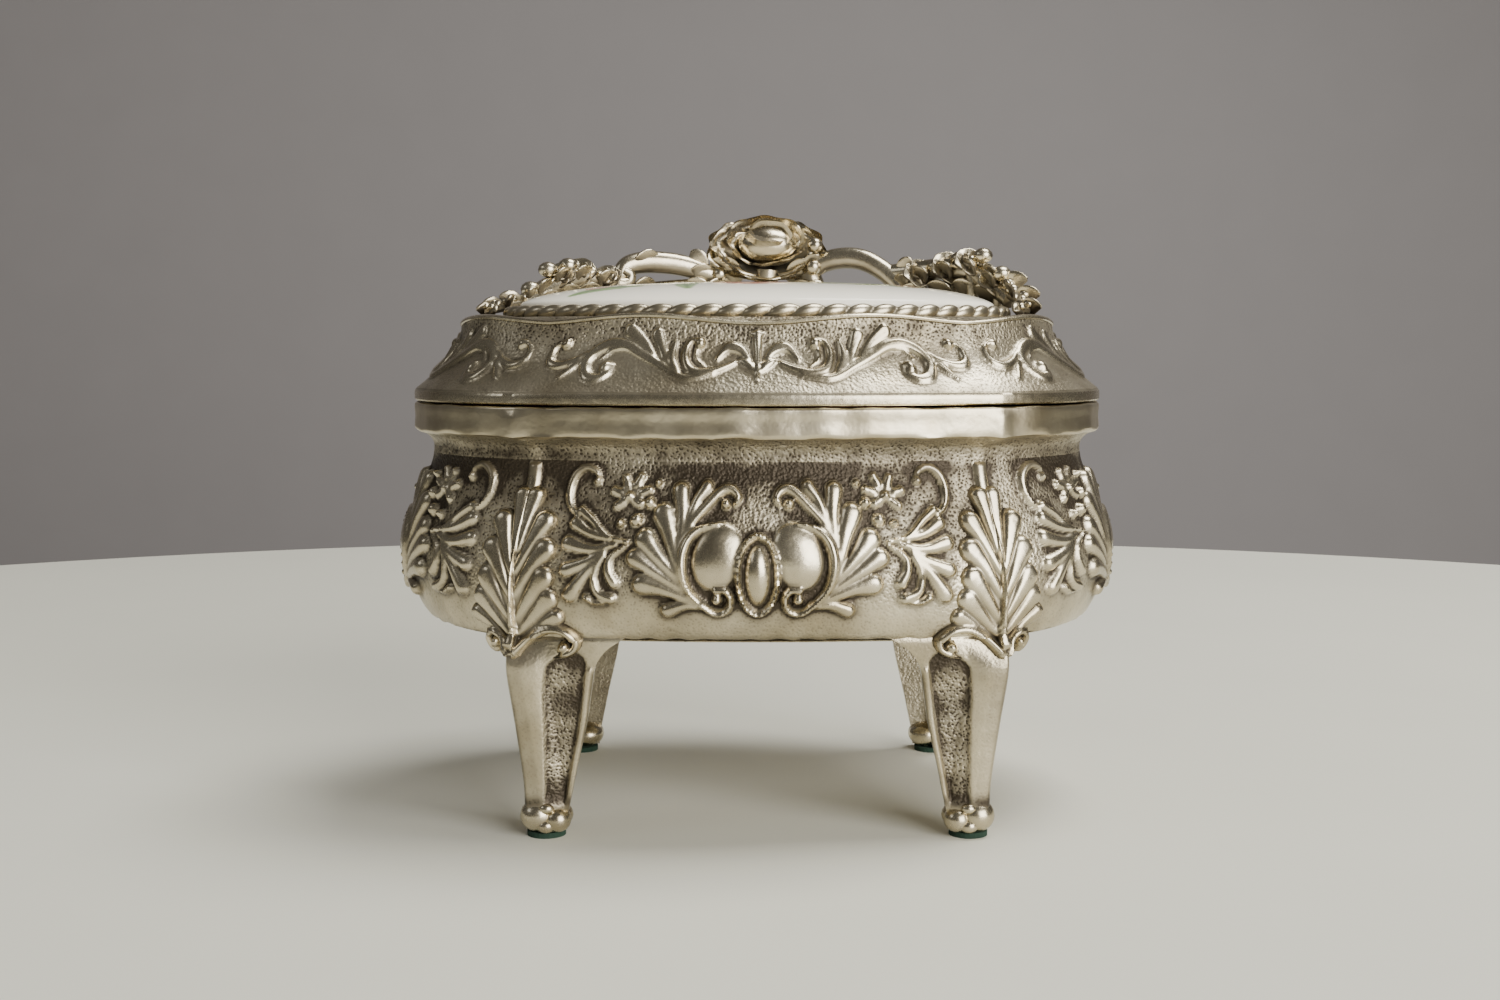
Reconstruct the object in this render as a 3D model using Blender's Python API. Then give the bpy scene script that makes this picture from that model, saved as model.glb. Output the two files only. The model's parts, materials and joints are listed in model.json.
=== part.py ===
"""A footed vanity trinket box: a bombe casket of cast, silver-plated metal on four cabriole legs.

Its hinged lid carries an oval porcelain plaque in a rope bezel, with an openwork flower garland behind it.
Origin: the middle of the footprint, on the surface that the felt pads stand on. +Z is up and -Y is the front.
"""

import math
from dataclasses import dataclass

import bmesh
import bpy
from mathutils import Matrix, Vector

MM = 0.001

# Clearances
SEAT_GAP = 0.3 * MM  # between any two pieces that touch
RUNNING_GAP = 0.3 * MM  # between the hinge pin and its knuckles, and between knuckles
GLUE_GAP = 0.5 * MM  # between the casket wall and its lining

# Plan of the casket at the rim: two panels bowed in front and behind, two bowed more at the ends
RIM_HALF_WIDTH = 54.8 * MM
RIM_HALF_DEPTH = 36.6 * MM
CORNER_X = 35.3 * MM
CORNER_Y = 31.0 * MM
FRONT_STEPS = 12
SIDE_STEPS = 12

# Heights
LEG_HEIGHT = 30.5 * MM  # floor to the underside of the casket wall
WALL_HEIGHT = 33.4 * MM  # underside of the wall to the top of the rim
RIM_BAND_HEIGHT = 4.0 * MM
NECK_BELOW_RIM = 3.0 * MM
BELLY_ABOVE_BASE = 9.7 * MM
LID_BEVEL_HEIGHT = 1.9 * MM
LID_WALL_HEIGHT = 11.0 * MM  # bevel to deck

# How far the casket stands out from its rim outline
BELLY_SWELL = 2.8 * MM
NECK_INSET = 2.8 * MM
BASE_INSET = 1.9 * MM
BAND_CHAMFER = 0.3 * MM
PILASTER_PROUD = 1.2 * MM

# How far the lid wall leans in from the bevel to the deck
LID_LEAN_SIDE = 7.2 * MM
LID_LEAN_FRONT = 5.5 * MM
LID_LEAN_CORNER = 4.5 * MM
LID_HOLLOW = 0.6 * MM  # how far the wall curves in behind a straight slope
LID_WALL_STEPS = 3

# Walls
CASKET_WALL = 1.8 * MM
LID_WALL = 1.6 * MM
BASE_THICKNESS = 1.2 * MM

# Legs
LEG_ARM_TOP = 14.0 * MM
LEG_ARM_FOOT = 6.0 * MM
LEG_WALL = 2.2 * MM
LEG_PROUD = 0.6 * MM  # of the casket's corner, at the knee
KNEE_SWELL = 1.0 * MM
LEG_STRAIGHT = 0.7  # share of a leg's height below which its front arm is straight
FOOT_X = 34.4 * MM
FOOT_Y = 30.4 * MM
TOE_RADIUS = 2.9 * MM
TOE_HEIGHT = 5.0 * MM
PAD_RADIUS = 2.9 * MM
PAD_THICKNESS = 0.8 * MM

# Plaque and bezel on the lid's deck
BEZEL_HALF_LENGTH = 39.6 * MM
BEZEL_HALF_WIDTH = 26.6 * MM
BEZEL_RADIUS = 1.15 * MM
PLAQUE_EDGE = 1.9 * MM
PLAQUE_RISE = 3.5 * MM
PLAQUE_LEDGE = 3.6 * MM  # the deck that carries the plaque's edge

# Garland
GARLAND_TUBE = 1.25 * MM
GARLAND_RAIL_HEIGHT = 10.6 * MM  # top of the arches above the deck
RUNNER_TUBE = 0.95 * MM
GARLAND_SPACE = 0.9 * MM  # between the bezel and the rail
CLUSTER_FLOWER = 2.6 * MM
ROSE_HALF_WIDTH = 8.8 * MM
ROSE_HALF_HEIGHT = 5.6 * MM
ROSE_HALF_DEPTH = 4.6 * MM
ROSE_TOP = 17.9 * MM  # above the deck
ROSE_POST = 2.4 * MM

# Linings
LINING = 1.0 * MM
CUSHION_THICKNESS = 5.0 * MM
CUSHION_CROWN = 1.0 * MM
LID_PAD_THICKNESS = 3.0 * MM
LINING_BELOW_RIM = 0.9 * MM

# Hinge
HINGE_HALF_LENGTH = 9.0 * MM
KNUCKLE_RADIUS = 1.2 * MM
PIN_RADIUS = 0.45 * MM
PIN_HEAD_RADIUS = 0.8 * MM
PIN_HEAD = 0.5 * MM
LID_KNUCKLE_HALF_LENGTH = 3.6 * MM
LEAF_THICKNESS = 0.6 * MM
RIVET_X = 6.2 * MM
RIVET_RADIUS = 0.4 * MM
RIVET_HEAD_RADIUS = 0.8 * MM
RIVET_HEAD = 0.45 * MM
RIVET_SHANK = 1.5 * MM

# Heights that follow from those
BASE_Z = LEG_HEIGHT
PLATE_Z = BASE_Z - SEAT_GAP
LEG_TOP_Z = PLATE_Z - BASE_THICKNESS - SEAT_GAP
LEG_FOOT_Z = PAD_THICKNESS + SEAT_GAP
RIM_Z = BASE_Z + WALL_HEIGHT
BAND_Z = RIM_Z - RIM_BAND_HEIGHT
NECK_Z = BAND_Z - NECK_BELOW_RIM
BELLY_Z = BASE_Z + BELLY_ABOVE_BASE
LID_Z = RIM_Z + SEAT_GAP
LID_WALL_Z = LID_Z + LID_BEVEL_HEIGHT
DECK_Z = LID_WALL_Z + LID_WALL_HEIGHT
HINGE_Z = RIM_Z + SEAT_GAP / 2
HINGE_Y = RIM_HALF_DEPTH + SEAT_GAP + KNUCKLE_RADIUS
PIN_BORE = PIN_RADIUS + RUNNING_GAP

SILVER = ("aged_silver", (0.52, 0.49, 0.42), 0.34, 1.0)
FINISHES = {
    "casting": SILVER,
    "polished": ("polished_silver", (0.62, 0.59, 0.52), 0.22, 1.0),
    "porcelain": ("white_porcelain", (0.86, 0.87, 0.84), 0.08, 0.0),
    "velvet": ("wine_velvet", (0.23, 0.02, 0.04), 0.95, 0.0),
    "felt": ("green_felt", (0.03, 0.16, 0.08), 0.98, 0.0),
    "steel": ("hinge_steel", (0.45, 0.44, 0.42), 0.35, 1.0),
}


@dataclass(frozen=True)
class Plan:
    """A closed plan outline: bowed panels that meet at four corners."""

    corner_x: float
    corner_y: float
    half_width: float
    half_depth: float

    def inset(self, distance):
        """The same outline with every side moved in."""
        return Plan(
            self.corner_x - distance,
            self.corner_y - distance,
            self.half_width - distance,
            self.half_depth - distance,
        )

    def ring(self, z, pilaster=0.0):
        """The outline's points at height z, counter-clockwise from the front left corner.

        A pilaster pushes the corner points out along their diagonals."""
        front = bowed(self.corner_x, self.half_depth - self.corner_y, FRONT_STEPS)
        side = bowed(self.corner_y, self.half_width - self.corner_x, SIDE_STEPS)
        points = [(x, -self.corner_y - out) for x, out in front]
        points += [(self.corner_x + out, y) for y, out in side]
        points += [(-x, self.corner_y + out) for x, out in front]
        points += [(-self.corner_x - out, -y) for y, out in side]
        ring = [Vector((x, y, z)) for x, y in points]
        for index in (0, FRONT_STEPS, FRONT_STEPS + SIDE_STEPS, 2 * FRONT_STEPS + SIDE_STEPS):
            corner = ring[index]
            corner.x += math.copysign(pilaster, corner.x)
            corner.y += math.copysign(pilaster, corner.y)
        return ring


def bowed(half_chord, bow, steps):
    """Points along a panel from -half_chord, each with how far the arc stands out; the last corner is left out."""
    radius = (half_chord**2 + bow**2) / (2 * bow)
    half_angle = math.asin(half_chord / radius)
    points = []
    for step in range(steps):
        angle = half_angle * (2 * step / steps - 1)
        points.append((radius * math.sin(angle), radius * math.cos(angle) - radius + bow))
    return points


def eased(share):
    """A smooth step from 0 to 1."""
    share = min(max(share, 0.0), 1.0)
    return share * share * (3 - 2 * share)


def casket_offset(z):
    """How far the casket's panels stand out from the rim outline at height z."""
    stations = (
        (BASE_Z, -BASE_INSET),
        (BELLY_Z, BELLY_SWELL),
        (NECK_Z, -NECK_INSET),
        (BAND_Z, -BAND_CHAMFER),
        (RIM_Z, 0.0),
    )
    for (low, start), (high, end) in zip(stations, stations[1:]):
        if z <= high:
            share = (z - low) / (high - low)
            # The foot of the belly is a quarter round, so it starts steep
            eased_share = math.sin(share * math.pi / 2) if low == BASE_Z else eased(share)
            return start + (end - start) * eased_share
    return 0.0


def casket_plan(z):
    offset = casket_offset(z)
    return Plan(CORNER_X, CORNER_Y, RIM_HALF_WIDTH + offset, RIM_HALF_DEPTH + offset)


def lid_plan(z):
    """The lid's outer outline at height z: a bevel, then a wall that leans in and is slightly hollow."""
    share = min(max((z - LID_WALL_Z) / LID_WALL_HEIGHT, 0.0), 1.0)
    bevel = BAND_CHAMFER if z >= LID_WALL_Z else 0.0
    hollow = LID_HOLLOW * math.sin(math.pi * share)
    return Plan(
        CORNER_X - bevel - LID_LEAN_CORNER * share - hollow,
        CORNER_Y - bevel - LID_LEAN_CORNER * share - hollow,
        RIM_HALF_WIDTH - bevel - LID_LEAN_SIDE * share - hollow,
        RIM_HALF_DEPTH - bevel - LID_LEAN_FRONT * share - hollow,
    )


def oval_ring(half_length, half_width, z, like):
    """An oval with one point for each point of the outline that it is joined to."""
    ring = []
    for point in like:
        angle = math.atan2(point.y / half_width, point.x / half_length)
        ring.append(Vector((half_length * math.cos(angle), half_width * math.sin(angle), z)))
    return ring


def heights(low, high, steps):
    return [low + (high - low) * step / steps for step in range(steps + 1)]


def inside_heights(bottom, top):
    """The heights at which the casket's hollow and its lining are both shaped."""
    stations = heights(BASE_Z, BELLY_Z, 4) + heights(BELLY_Z, NECK_Z, 4)[1:] + [BAND_Z]
    return [bottom] + [z for z in stations if bottom < z < top] + [top]


def clear_scene():
    for obj in list(bpy.data.objects):
        bpy.data.objects.remove(obj)


def new_collection(name, hidden=False):
    collection = bpy.data.collections.new(name)
    collection.hide_render = hidden
    bpy.context.scene.collection.children.link(collection)
    return collection


def new_material(finish):
    name, colour, roughness, metallic = FINISHES[finish]
    material = bpy.data.materials.get(name)
    if material is None:
        material = bpy.data.materials.new(name)
        material.use_nodes = True
        shader = material.node_tree.nodes["Principled BSDF"]
        shader.inputs["Base Color"].default_value = (*colour, 1.0)
        shader.inputs["Roughness"].default_value = roughness
        shader.inputs["Metallic"].default_value = metallic
    return material


class Bench:
    """Holds the two collections and makes the objects in them."""

    def __init__(self):
        self.pieces = new_collection("vanity_trinket_box")
        self.cutters = new_collection("cutters", hidden=True)

    def piece(self, name, mesh, finish, parent=None):
        """A named piece whose mesh is given in world space; its origin stays where its parent is."""
        obj = bpy.data.objects.new(name, mesh)
        mesh.materials.clear()
        mesh.materials.append(new_material(finish))
        mesh.shade_smooth()
        mesh.set_sharp_from_angle(angle=math.radians(35))
        self.pieces.objects.link(obj)
        if parent is not None:
            mesh.transform(Matrix.Translation(-parent.location))
            obj.parent = parent
        return obj

    def cutter(self, name, mesh):
        obj = bpy.data.objects.new(name, mesh)
        obj.hide_render = True
        obj.display_type = "WIRE"
        self.cutters.objects.link(obj)
        return obj

    def combine(self, mesh, others, operation):
        """The mesh joined with, or cut by, each of the others."""
        target = self.cutter("stock", mesh)
        for number, other in enumerate(others):
            modifier = target.modifiers.new(f"{operation.lower()}_{number}", "BOOLEAN")
            modifier.operation = operation
            modifier.solver = "EXACT"
            modifier.object = self.cutter(f"tool_{number}", other)
        graph = bpy.context.evaluated_depsgraph_get()
        made = bpy.data.meshes.new_from_object(target.evaluated_get(graph))
        for modifier in target.modifiers:
            bpy.data.objects.remove(modifier.object)
        bpy.data.objects.remove(target)
        return made

    def united(self, meshes):
        return self.combine(meshes[0], meshes[1:], "UNION")

    def cut(self, mesh, tools):
        return self.combine(mesh, tools, "DIFFERENCE")


def finished_mesh(name, work):
    bmesh.ops.recalc_face_normals(work, faces=work.faces)
    mesh = bpy.data.meshes.new(name)
    work.to_mesh(mesh)
    work.free()
    return mesh


def triangulated(mesh):
    work = bmesh.new()
    work.from_mesh(mesh)
    bmesh.ops.triangulate(work, faces=work.faces)
    work.to_mesh(mesh)
    work.free()
    return mesh


def loft(name, rings, endless=False):
    """Skins a stack of rings. Endless joins the last ring to the first, as on a tub with no floor."""
    work = bmesh.new()
    stack = [[work.verts.new(point) for point in ring] for ring in rings]
    pairs = list(zip(stack, stack[1:]))
    if endless:
        pairs.append((stack[-1], stack[0]))
    else:
        work.faces.new(reversed(stack[0]))
        work.faces.new(stack[-1])
    for lower, upper in pairs:
        for a, b in zip(range(len(lower)), list(range(1, len(lower))) + [0]):
            work.faces.new((lower[a], lower[b], upper[b], upper[a]))
    return finished_mesh(name, work)


def ellipsoid(name, centre, radii, segments=16, rings=10):
    work = bmesh.new()
    place = Matrix.Translation(centre) @ Matrix.Diagonal((*radii, 1.0))
    bmesh.ops.create_uvsphere(work, u_segments=segments, v_segments=rings, radius=1.0, matrix=place)
    return finished_mesh(name, work)


def cylinder(name, centre, direction, radius, length, segments=20, taper=1.0):
    """A cylinder or cone centred on a point, along a direction."""
    work = bmesh.new()
    turn = Vector(direction).to_track_quat("Z", "Y").to_matrix().to_4x4()
    bmesh.ops.create_cone(
        work,
        cap_ends=True,
        segments=segments,
        radius1=radius,
        radius2=radius * taper,
        depth=length,
        matrix=Matrix.Translation(centre) @ turn,
    )
    return finished_mesh(name, work)


def tube(name, points, radius, closed=False, sides=2):
    """A round bar along a smooth path, as a welded mesh."""
    curve = bpy.data.curves.new(name, "CURVE")
    curve.dimensions = "3D"
    curve.bevel_depth = radius
    curve.bevel_resolution = sides
    curve.use_fill_caps = True
    spline = curve.splines.new("POLY")
    spline.points.add(len(points) - 1)
    for target, point in zip(spline.points, points):
        target.co = (*point, 1.0)
    spline.use_cyclic_u = closed
    obj = bpy.data.objects.new(name, curve)
    bpy.context.scene.collection.objects.link(obj)
    mesh = bpy.data.meshes.new_from_object(obj.evaluated_get(bpy.context.evaluated_depsgraph_get()))
    bpy.data.objects.remove(obj)
    work = bmesh.new()
    work.from_mesh(mesh)
    bmesh.ops.remove_doubles(work, verts=work.verts, dist=1e-6)
    return finished_mesh(name, work)


def plate_along_x(name, outline, half_length, centre_x=0.0):
    """A flat outline in the Y-Z plane, given thickness along X."""
    rings = []
    for x in (centre_x - half_length, centre_x + half_length):
        rings.append([Vector((x, y, z)) for y, z in outline])
    return loft(name, rings)


def make_casket(bench):
    """The tub wall: bombe outside, the same thickness all round, open at the top and the bottom."""
    outer_heights = heights(BASE_Z, BELLY_Z, 4) + heights(BELLY_Z, NECK_Z, 5)[1:] + [BAND_Z, RIM_Z]
    outer = [casket_plan(z).ring(z, PILASTER_PROUD) for z in outer_heights]
    inner = [casket_plan(z).inset(CASKET_WALL).ring(z) for z in reversed(inside_heights(BASE_Z, RIM_Z))]
    wall = loft("body_shell", outer + inner, endless=True)
    holes = [rivet_hole(f"hole_{side}", body_rivet_place(side)) for side in (-1, 1)]
    bench.piece("body_shell", bench.cut(wall, holes), "casting")


def make_base(bench):
    """The floor plate, flush with the casket's lower edge; the legs are fixed under its corners."""
    plan = casket_plan(BASE_Z)
    rings = [plan.ring(z, LEG_PROUD) for z in (PLATE_Z - BASE_THICKNESS, PLATE_Z)]
    bench.piece("base_plate", loft("base_plate", rings), "casting")


def leg_section(z):
    """An L: two arms from the outer corner; the front one follows the casket's panel at the top."""
    share = (z - LEG_FOOT_Z) / (LEG_TOP_Z - LEG_FOOT_Z)
    knee = KNEE_SWELL * math.sin(math.pi * min(share, 1.0) ** 3)
    corner_x = FOOT_X + (CORNER_X + LEG_PROUD - FOOT_X) * share + knee
    corner_y = FOOT_Y + (CORNER_Y + LEG_PROUD - FOOT_Y) * share + knee
    reach = LEG_ARM_FOOT + (LEG_ARM_TOP - LEG_ARM_FOOT) * share
    panel_bow = casket_plan(BASE_Z).half_depth - CORNER_Y
    bow = panel_bow * LEG_ARM_TOP / CORNER_X * eased((share - LEG_STRAIGHT) / (1 - LEG_STRAIGHT))
    outer = [(corner_x - reach, corner_y + bow), (corner_x - reach / 2, corner_y + bow * 0.6)]
    outer += [(corner_x, corner_y), (corner_x, corner_y - reach)]
    inner = [(corner_x - LEG_WALL, corner_y - reach), (corner_x - LEG_WALL, corner_y - LEG_WALL)]
    inner += [(x, y - LEG_WALL) for x, y in reversed(outer[:2])]
    return [Vector((x, y, z)) for x, y in outer + inner]


def make_legs(bench):
    """Four hollow-backed cabriole legs with solid toes, each on a felt pad; one pattern, mirrored."""
    toe_x = FOOT_X - TOE_RADIUS
    toe_y = FOOT_Y - TOE_RADIUS
    toe_place = (toe_x, toe_y, LEG_FOOT_Z + TOE_HEIGHT / 2)
    toe = cylinder("toe", toe_place, (0, 0, 1), TOE_RADIUS * 1.1, TOE_HEIGHT, 16, 0.8)
    shank = loft("shank", [leg_section(z) for z in heights(LEG_FOOT_Z, LEG_TOP_Z, 8)])
    pattern = triangulated(bench.united([shank, toe]))
    corners = (("front_left", -1, -1), ("front_right", 1, -1), ("back_left", -1, 1), ("back_right", 1, 1))
    for name, x_sign, y_sign in corners:
        leg = pattern.copy()
        leg.transform(Matrix.Diagonal((x_sign, y_sign, 1.0, 1.0)))
        if x_sign * y_sign < 0:
            leg.flip_normals()
        bench.piece(f"leg_{name}", leg, "casting")
        pad_place = (toe_x * x_sign, toe_y * y_sign, PAD_THICKNESS / 2)
        pad = cylinder("pad", pad_place, (0, 0, 1), PAD_RADIUS, PAD_THICKNESS, 24)
        bench.piece(f"felt_pad_{name}", pad, "felt")
    bpy.data.meshes.remove(pattern)


def make_linings(bench):
    """The velvet wall lining and the cushion on the floor of the casket."""
    backing = CASKET_WALL + GLUE_GAP
    top = RIM_Z - LINING_BELOW_RIM
    bottom = BASE_Z
    lined = inside_heights(bottom, top)
    outer = [casket_plan(z).inset(backing).ring(z) for z in lined]
    inner = [casket_plan(z).inset(backing + LINING).ring(z) for z in reversed(lined)]
    bench.piece("wall_lining", loft("wall_lining", outer + inner, endless=True), "velvet")

    inside = casket_plan(bottom).inset(backing + LINING + SEAT_GAP)
    edge = bottom + CUSHION_THICKNESS - CUSHION_CROWN
    rings = [
        inside.inset(CUSHION_CROWN).ring(bottom),
        inside.ring(bottom + CUSHION_CROWN),
        inside.ring(edge),
        inside.inset(4 * CUSHION_CROWN).ring(bottom + CUSHION_THICKNESS),
    ]
    bench.piece("base_cushion", loft("base_cushion", rings), "velvet")


def make_lid(bench, lid):
    """The lid casting: bevel, leaning wall and a flat deck with an oval window under the plaque."""
    wall_heights = [LID_Z] + heights(LID_WALL_Z, DECK_Z, LID_WALL_STEPS)
    outer = [lid_plan(z).ring(z) for z in wall_heights]
    under = DECK_Z - LID_WALL
    window_length = BEZEL_HALF_LENGTH - BEZEL_RADIUS - PLAQUE_LEDGE
    window_width = BEZEL_HALF_WIDTH - BEZEL_RADIUS - PLAQUE_LEDGE
    window = [oval_ring(window_length, window_width, z, outer[-1]) for z in (DECK_Z, under)]
    inner_heights = [under] + heights(LID_WALL_Z, under, 2)[1::-1] + [LID_Z]
    inner = [lid_plan(z).inset(LID_WALL).ring(z) for z in inner_heights]
    casting = loft("lid_shell", outer + window + inner, endless=True)
    holes = [rivet_hole(f"lid_hole_{side}", lid_rivet_place(side)) for side in (-1, 1)]
    bench.piece("lid_shell", bench.cut(casting, holes), "casting", lid)

    pad_top = under - SEAT_GAP
    pad_plan = lid_plan(pad_top).inset(LID_WALL + SEAT_GAP)
    rings = [
        pad_plan.inset(2 * CUSHION_CROWN).ring(pad_top - LID_PAD_THICKNESS),
        pad_plan.ring(pad_top - LID_PAD_THICKNESS + CUSHION_CROWN),
        pad_plan.ring(pad_top),
    ]
    bench.piece("lid_lining", loft("lid_lining", rings), "velvet", lid)


def oval_path(half_length, half_width, z, steps):
    angles = [2 * math.pi * step / steps for step in range(steps)]
    return [Vector((half_length * math.cos(a), half_width * math.sin(a), z)) for a in angles]


def make_plaque(bench, lid):
    """The porcelain plaque, domed, and the bezel that holds its edge."""
    seat = DECK_Z + SEAT_GAP
    path = oval_path(BEZEL_HALF_LENGTH, BEZEL_HALF_WIDTH, seat + BEZEL_RADIUS, 56)
    bezel = tube("plaque_bezel", path, BEZEL_RADIUS, closed=True)
    bench.piece("plaque_bezel", bezel, "polished", lid)
    edge = BEZEL_RADIUS + SEAT_GAP
    length, width = BEZEL_HALF_LENGTH - edge, BEZEL_HALF_WIDTH - edge
    like = oval_path(length, width, 0.0, 48)
    rings = [oval_ring(length, width, seat, like), oval_ring(length, width, seat + PLAQUE_EDGE, like)]
    for step in (1, 2, 3, 4):
        share = step / 5
        rise = PLAQUE_EDGE + PLAQUE_RISE * (1 - (1 - share) ** 2.5)
        rings.append(oval_ring(length * (1 - share), width * (1 - share), seat + rise, like))
    bench.piece("porcelain_plaque", loft("porcelain_plaque", rings), "porcelain", lid)


def garland_point(angle, height):
    """A point behind the plaque: angle runs from the middle of the back (0) round to the front."""
    out = BEZEL_RADIUS + GARLAND_TUBE + GARLAND_SPACE
    turn = math.radians(angle)
    return Vector((
        (BEZEL_HALF_LENGTH + out) * math.sin(turn),
        (BEZEL_HALF_WIDTH + out) * math.cos(turn),
        DECK_Z + height,
    ))


def smooth_path(points, steps):
    """Points on a curve through the given ones, as angle and height pairs."""
    path = []
    padded = [points[0]] + list(points) + [points[-1]]
    for before, start, end, after in zip(padded, padded[1:], padded[2:], padded[3:]):
        for step in range(steps):
            t = step / steps
            pair = []
            for a, b, c, d in zip(before, start, end, after):
                bend = 2 * a - 5 * b + 4 * c - d
                pair.append(b + (c - a) * t / 2 + bend * t * t / 2 + (3 * b - a - 3 * c + d) * t**3 / 2)
            path.append(garland_point(*pair))
    path.append(garland_point(*points[-1]))
    return path


def make_garland(bench, lid, name, side):
    """One half of the openwork: an arched rail over a runner, flowers at the shoulder, a low vine to the front."""
    runner_low = RUNNER_TUBE + SEAT_GAP
    rail_low = GARLAND_TUBE + SEAT_GAP
    rail_top = GARLAND_RAIL_HEIGHT - GARLAND_TUBE
    rail = [(14, 5.6 * MM), (20, rail_top), (30, rail_top - 0.6 * MM), (40, 6.4 * MM), (52, 4.0 * MM)]
    rail += [(70, 2.6 * MM), (92, rail_low), (112, rail_low)]
    runner = [(14, runner_low + 1.0 * MM), (28, runner_low), (44, runner_low)]
    meshes = [
        tube("rail", smooth_path(rail, 3), GARLAND_TUBE),
        tube("runner", smooth_path(runner, 4), RUNNER_TUBE),
        tube("root", [garland_point(15, runner_low), garland_point(15, 6.2 * MM)], GARLAND_TUBE),
    ]
    for angle, height, size in ((46, 3.4, 0.8), (51, 6.6, 0.8), (60, 5.0, 0.85), (56, 2.7, 0.75), (71, 3.4, 0.7)):
        radius = CLUSTER_FLOWER * size
        meshes.append(ellipsoid("flower", garland_point(angle, height * MM), (radius,) * 3, 12, 8))
    garland = bench.united(meshes)
    if side < 0:
        garland.transform(Matrix.Diagonal((-1.0, 1.0, 1.0, 1.0)))
        garland.flip_normals()
    bench.piece(f"garland_{name}", garland, "casting", lid)


def make_rose(bench, lid):
    """The full-blown rose at the middle of the back, on a short post from the deck."""
    back = garland_point(0, ROSE_TOP - ROSE_HALF_HEIGHT)
    bloom = ellipsoid("bloom", back, (ROSE_HALF_WIDTH, ROSE_HALF_DEPTH * 0.62, ROSE_HALF_HEIGHT), 20, 12)
    post_height = ROSE_TOP - ROSE_HALF_HEIGHT - SEAT_GAP
    post_centre = garland_point(0, SEAT_GAP + post_height / 2)
    post = cylinder("post", post_centre, (0, 0, 1), GARLAND_TUBE * 1.1, post_height, 16, 0.9)
    leaf = ellipsoid("leaf", garland_point(0, 5.6 * MM), (ROSE_HALF_WIDTH * 0.72, GARLAND_TUBE, ROSE_POST), 16, 8)
    bench.piece("centre_rose", bench.united([bloom, post, leaf]), "casting", lid)


def body_rivet_place(side):
    """Where a rivet meets the rim band, and the way it points out."""
    return Vector((side * RIVET_X, RIM_HALF_DEPTH, BAND_Z + 1.3 * MM)), Vector((0, 1, 0))


def lid_leaf_line():
    """The lid wall behind the hinge, from the bevel up the slope, as Y-Z points on its surface."""
    start_z = LID_WALL_Z
    end_z = LID_WALL_Z + LID_WALL_HEIGHT / LID_WALL_STEPS
    return [(lid_plan(z).half_depth, z) for z in (start_z, end_z)]


def lid_slope():
    """Unit vectors up the lid wall behind the hinge and out of it."""
    (y0, z0), (y1, z1) = lid_leaf_line()
    up = Vector((0, y1 - y0, z1 - z0)).normalized()
    return up, Vector((0, up.z, -up.y))


def lid_rivet_place(side):
    (y0, z0), (y1, z1) = lid_leaf_line()
    return Vector((side * RIVET_X, (y0 + y1) / 2, (z0 + z1) / 2 + 0.2 * MM)), lid_slope()[1]


def rivet_hole(name, place):
    point, out = place
    return cylinder(name, point, out, RIVET_RADIUS + SEAT_GAP, 8 * MM, 12)


def make_rivet(bench, name, place, parent=None):
    """A small rivet: a shank through the leaf and into the wall, under a low head."""
    point, out = place
    seat = point + out * (SEAT_GAP + LEAF_THICKNESS + SEAT_GAP)
    head = cylinder("head", seat + out * RIVET_HEAD / 2, out, RIVET_HEAD_RADIUS, RIVET_HEAD, 14, 0.7)
    shank_length = RIVET_SHANK + RIVET_HEAD / 2
    shank_centre = seat + out * (RIVET_HEAD / 2 - shank_length / 2)
    shank = cylinder("shank", shank_centre, out, RIVET_RADIUS, shank_length, 12)
    bench.piece(name, bench.united([head, shank]), "steel", parent)


def knuckle(bench, centre_x, half_length):
    """A ring round the hinge pin."""
    centre = Vector((centre_x, HINGE_Y, HINGE_Z))
    ring = cylinder("knuckle", centre, (1, 0, 0), KNUCKLE_RADIUS, 2 * half_length, 20)
    bore = cylinder("bore", centre, (1, 0, 0), PIN_BORE, 2 * half_length + 2 * MM, 20)
    return bench.cut(ring, [bore])


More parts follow.
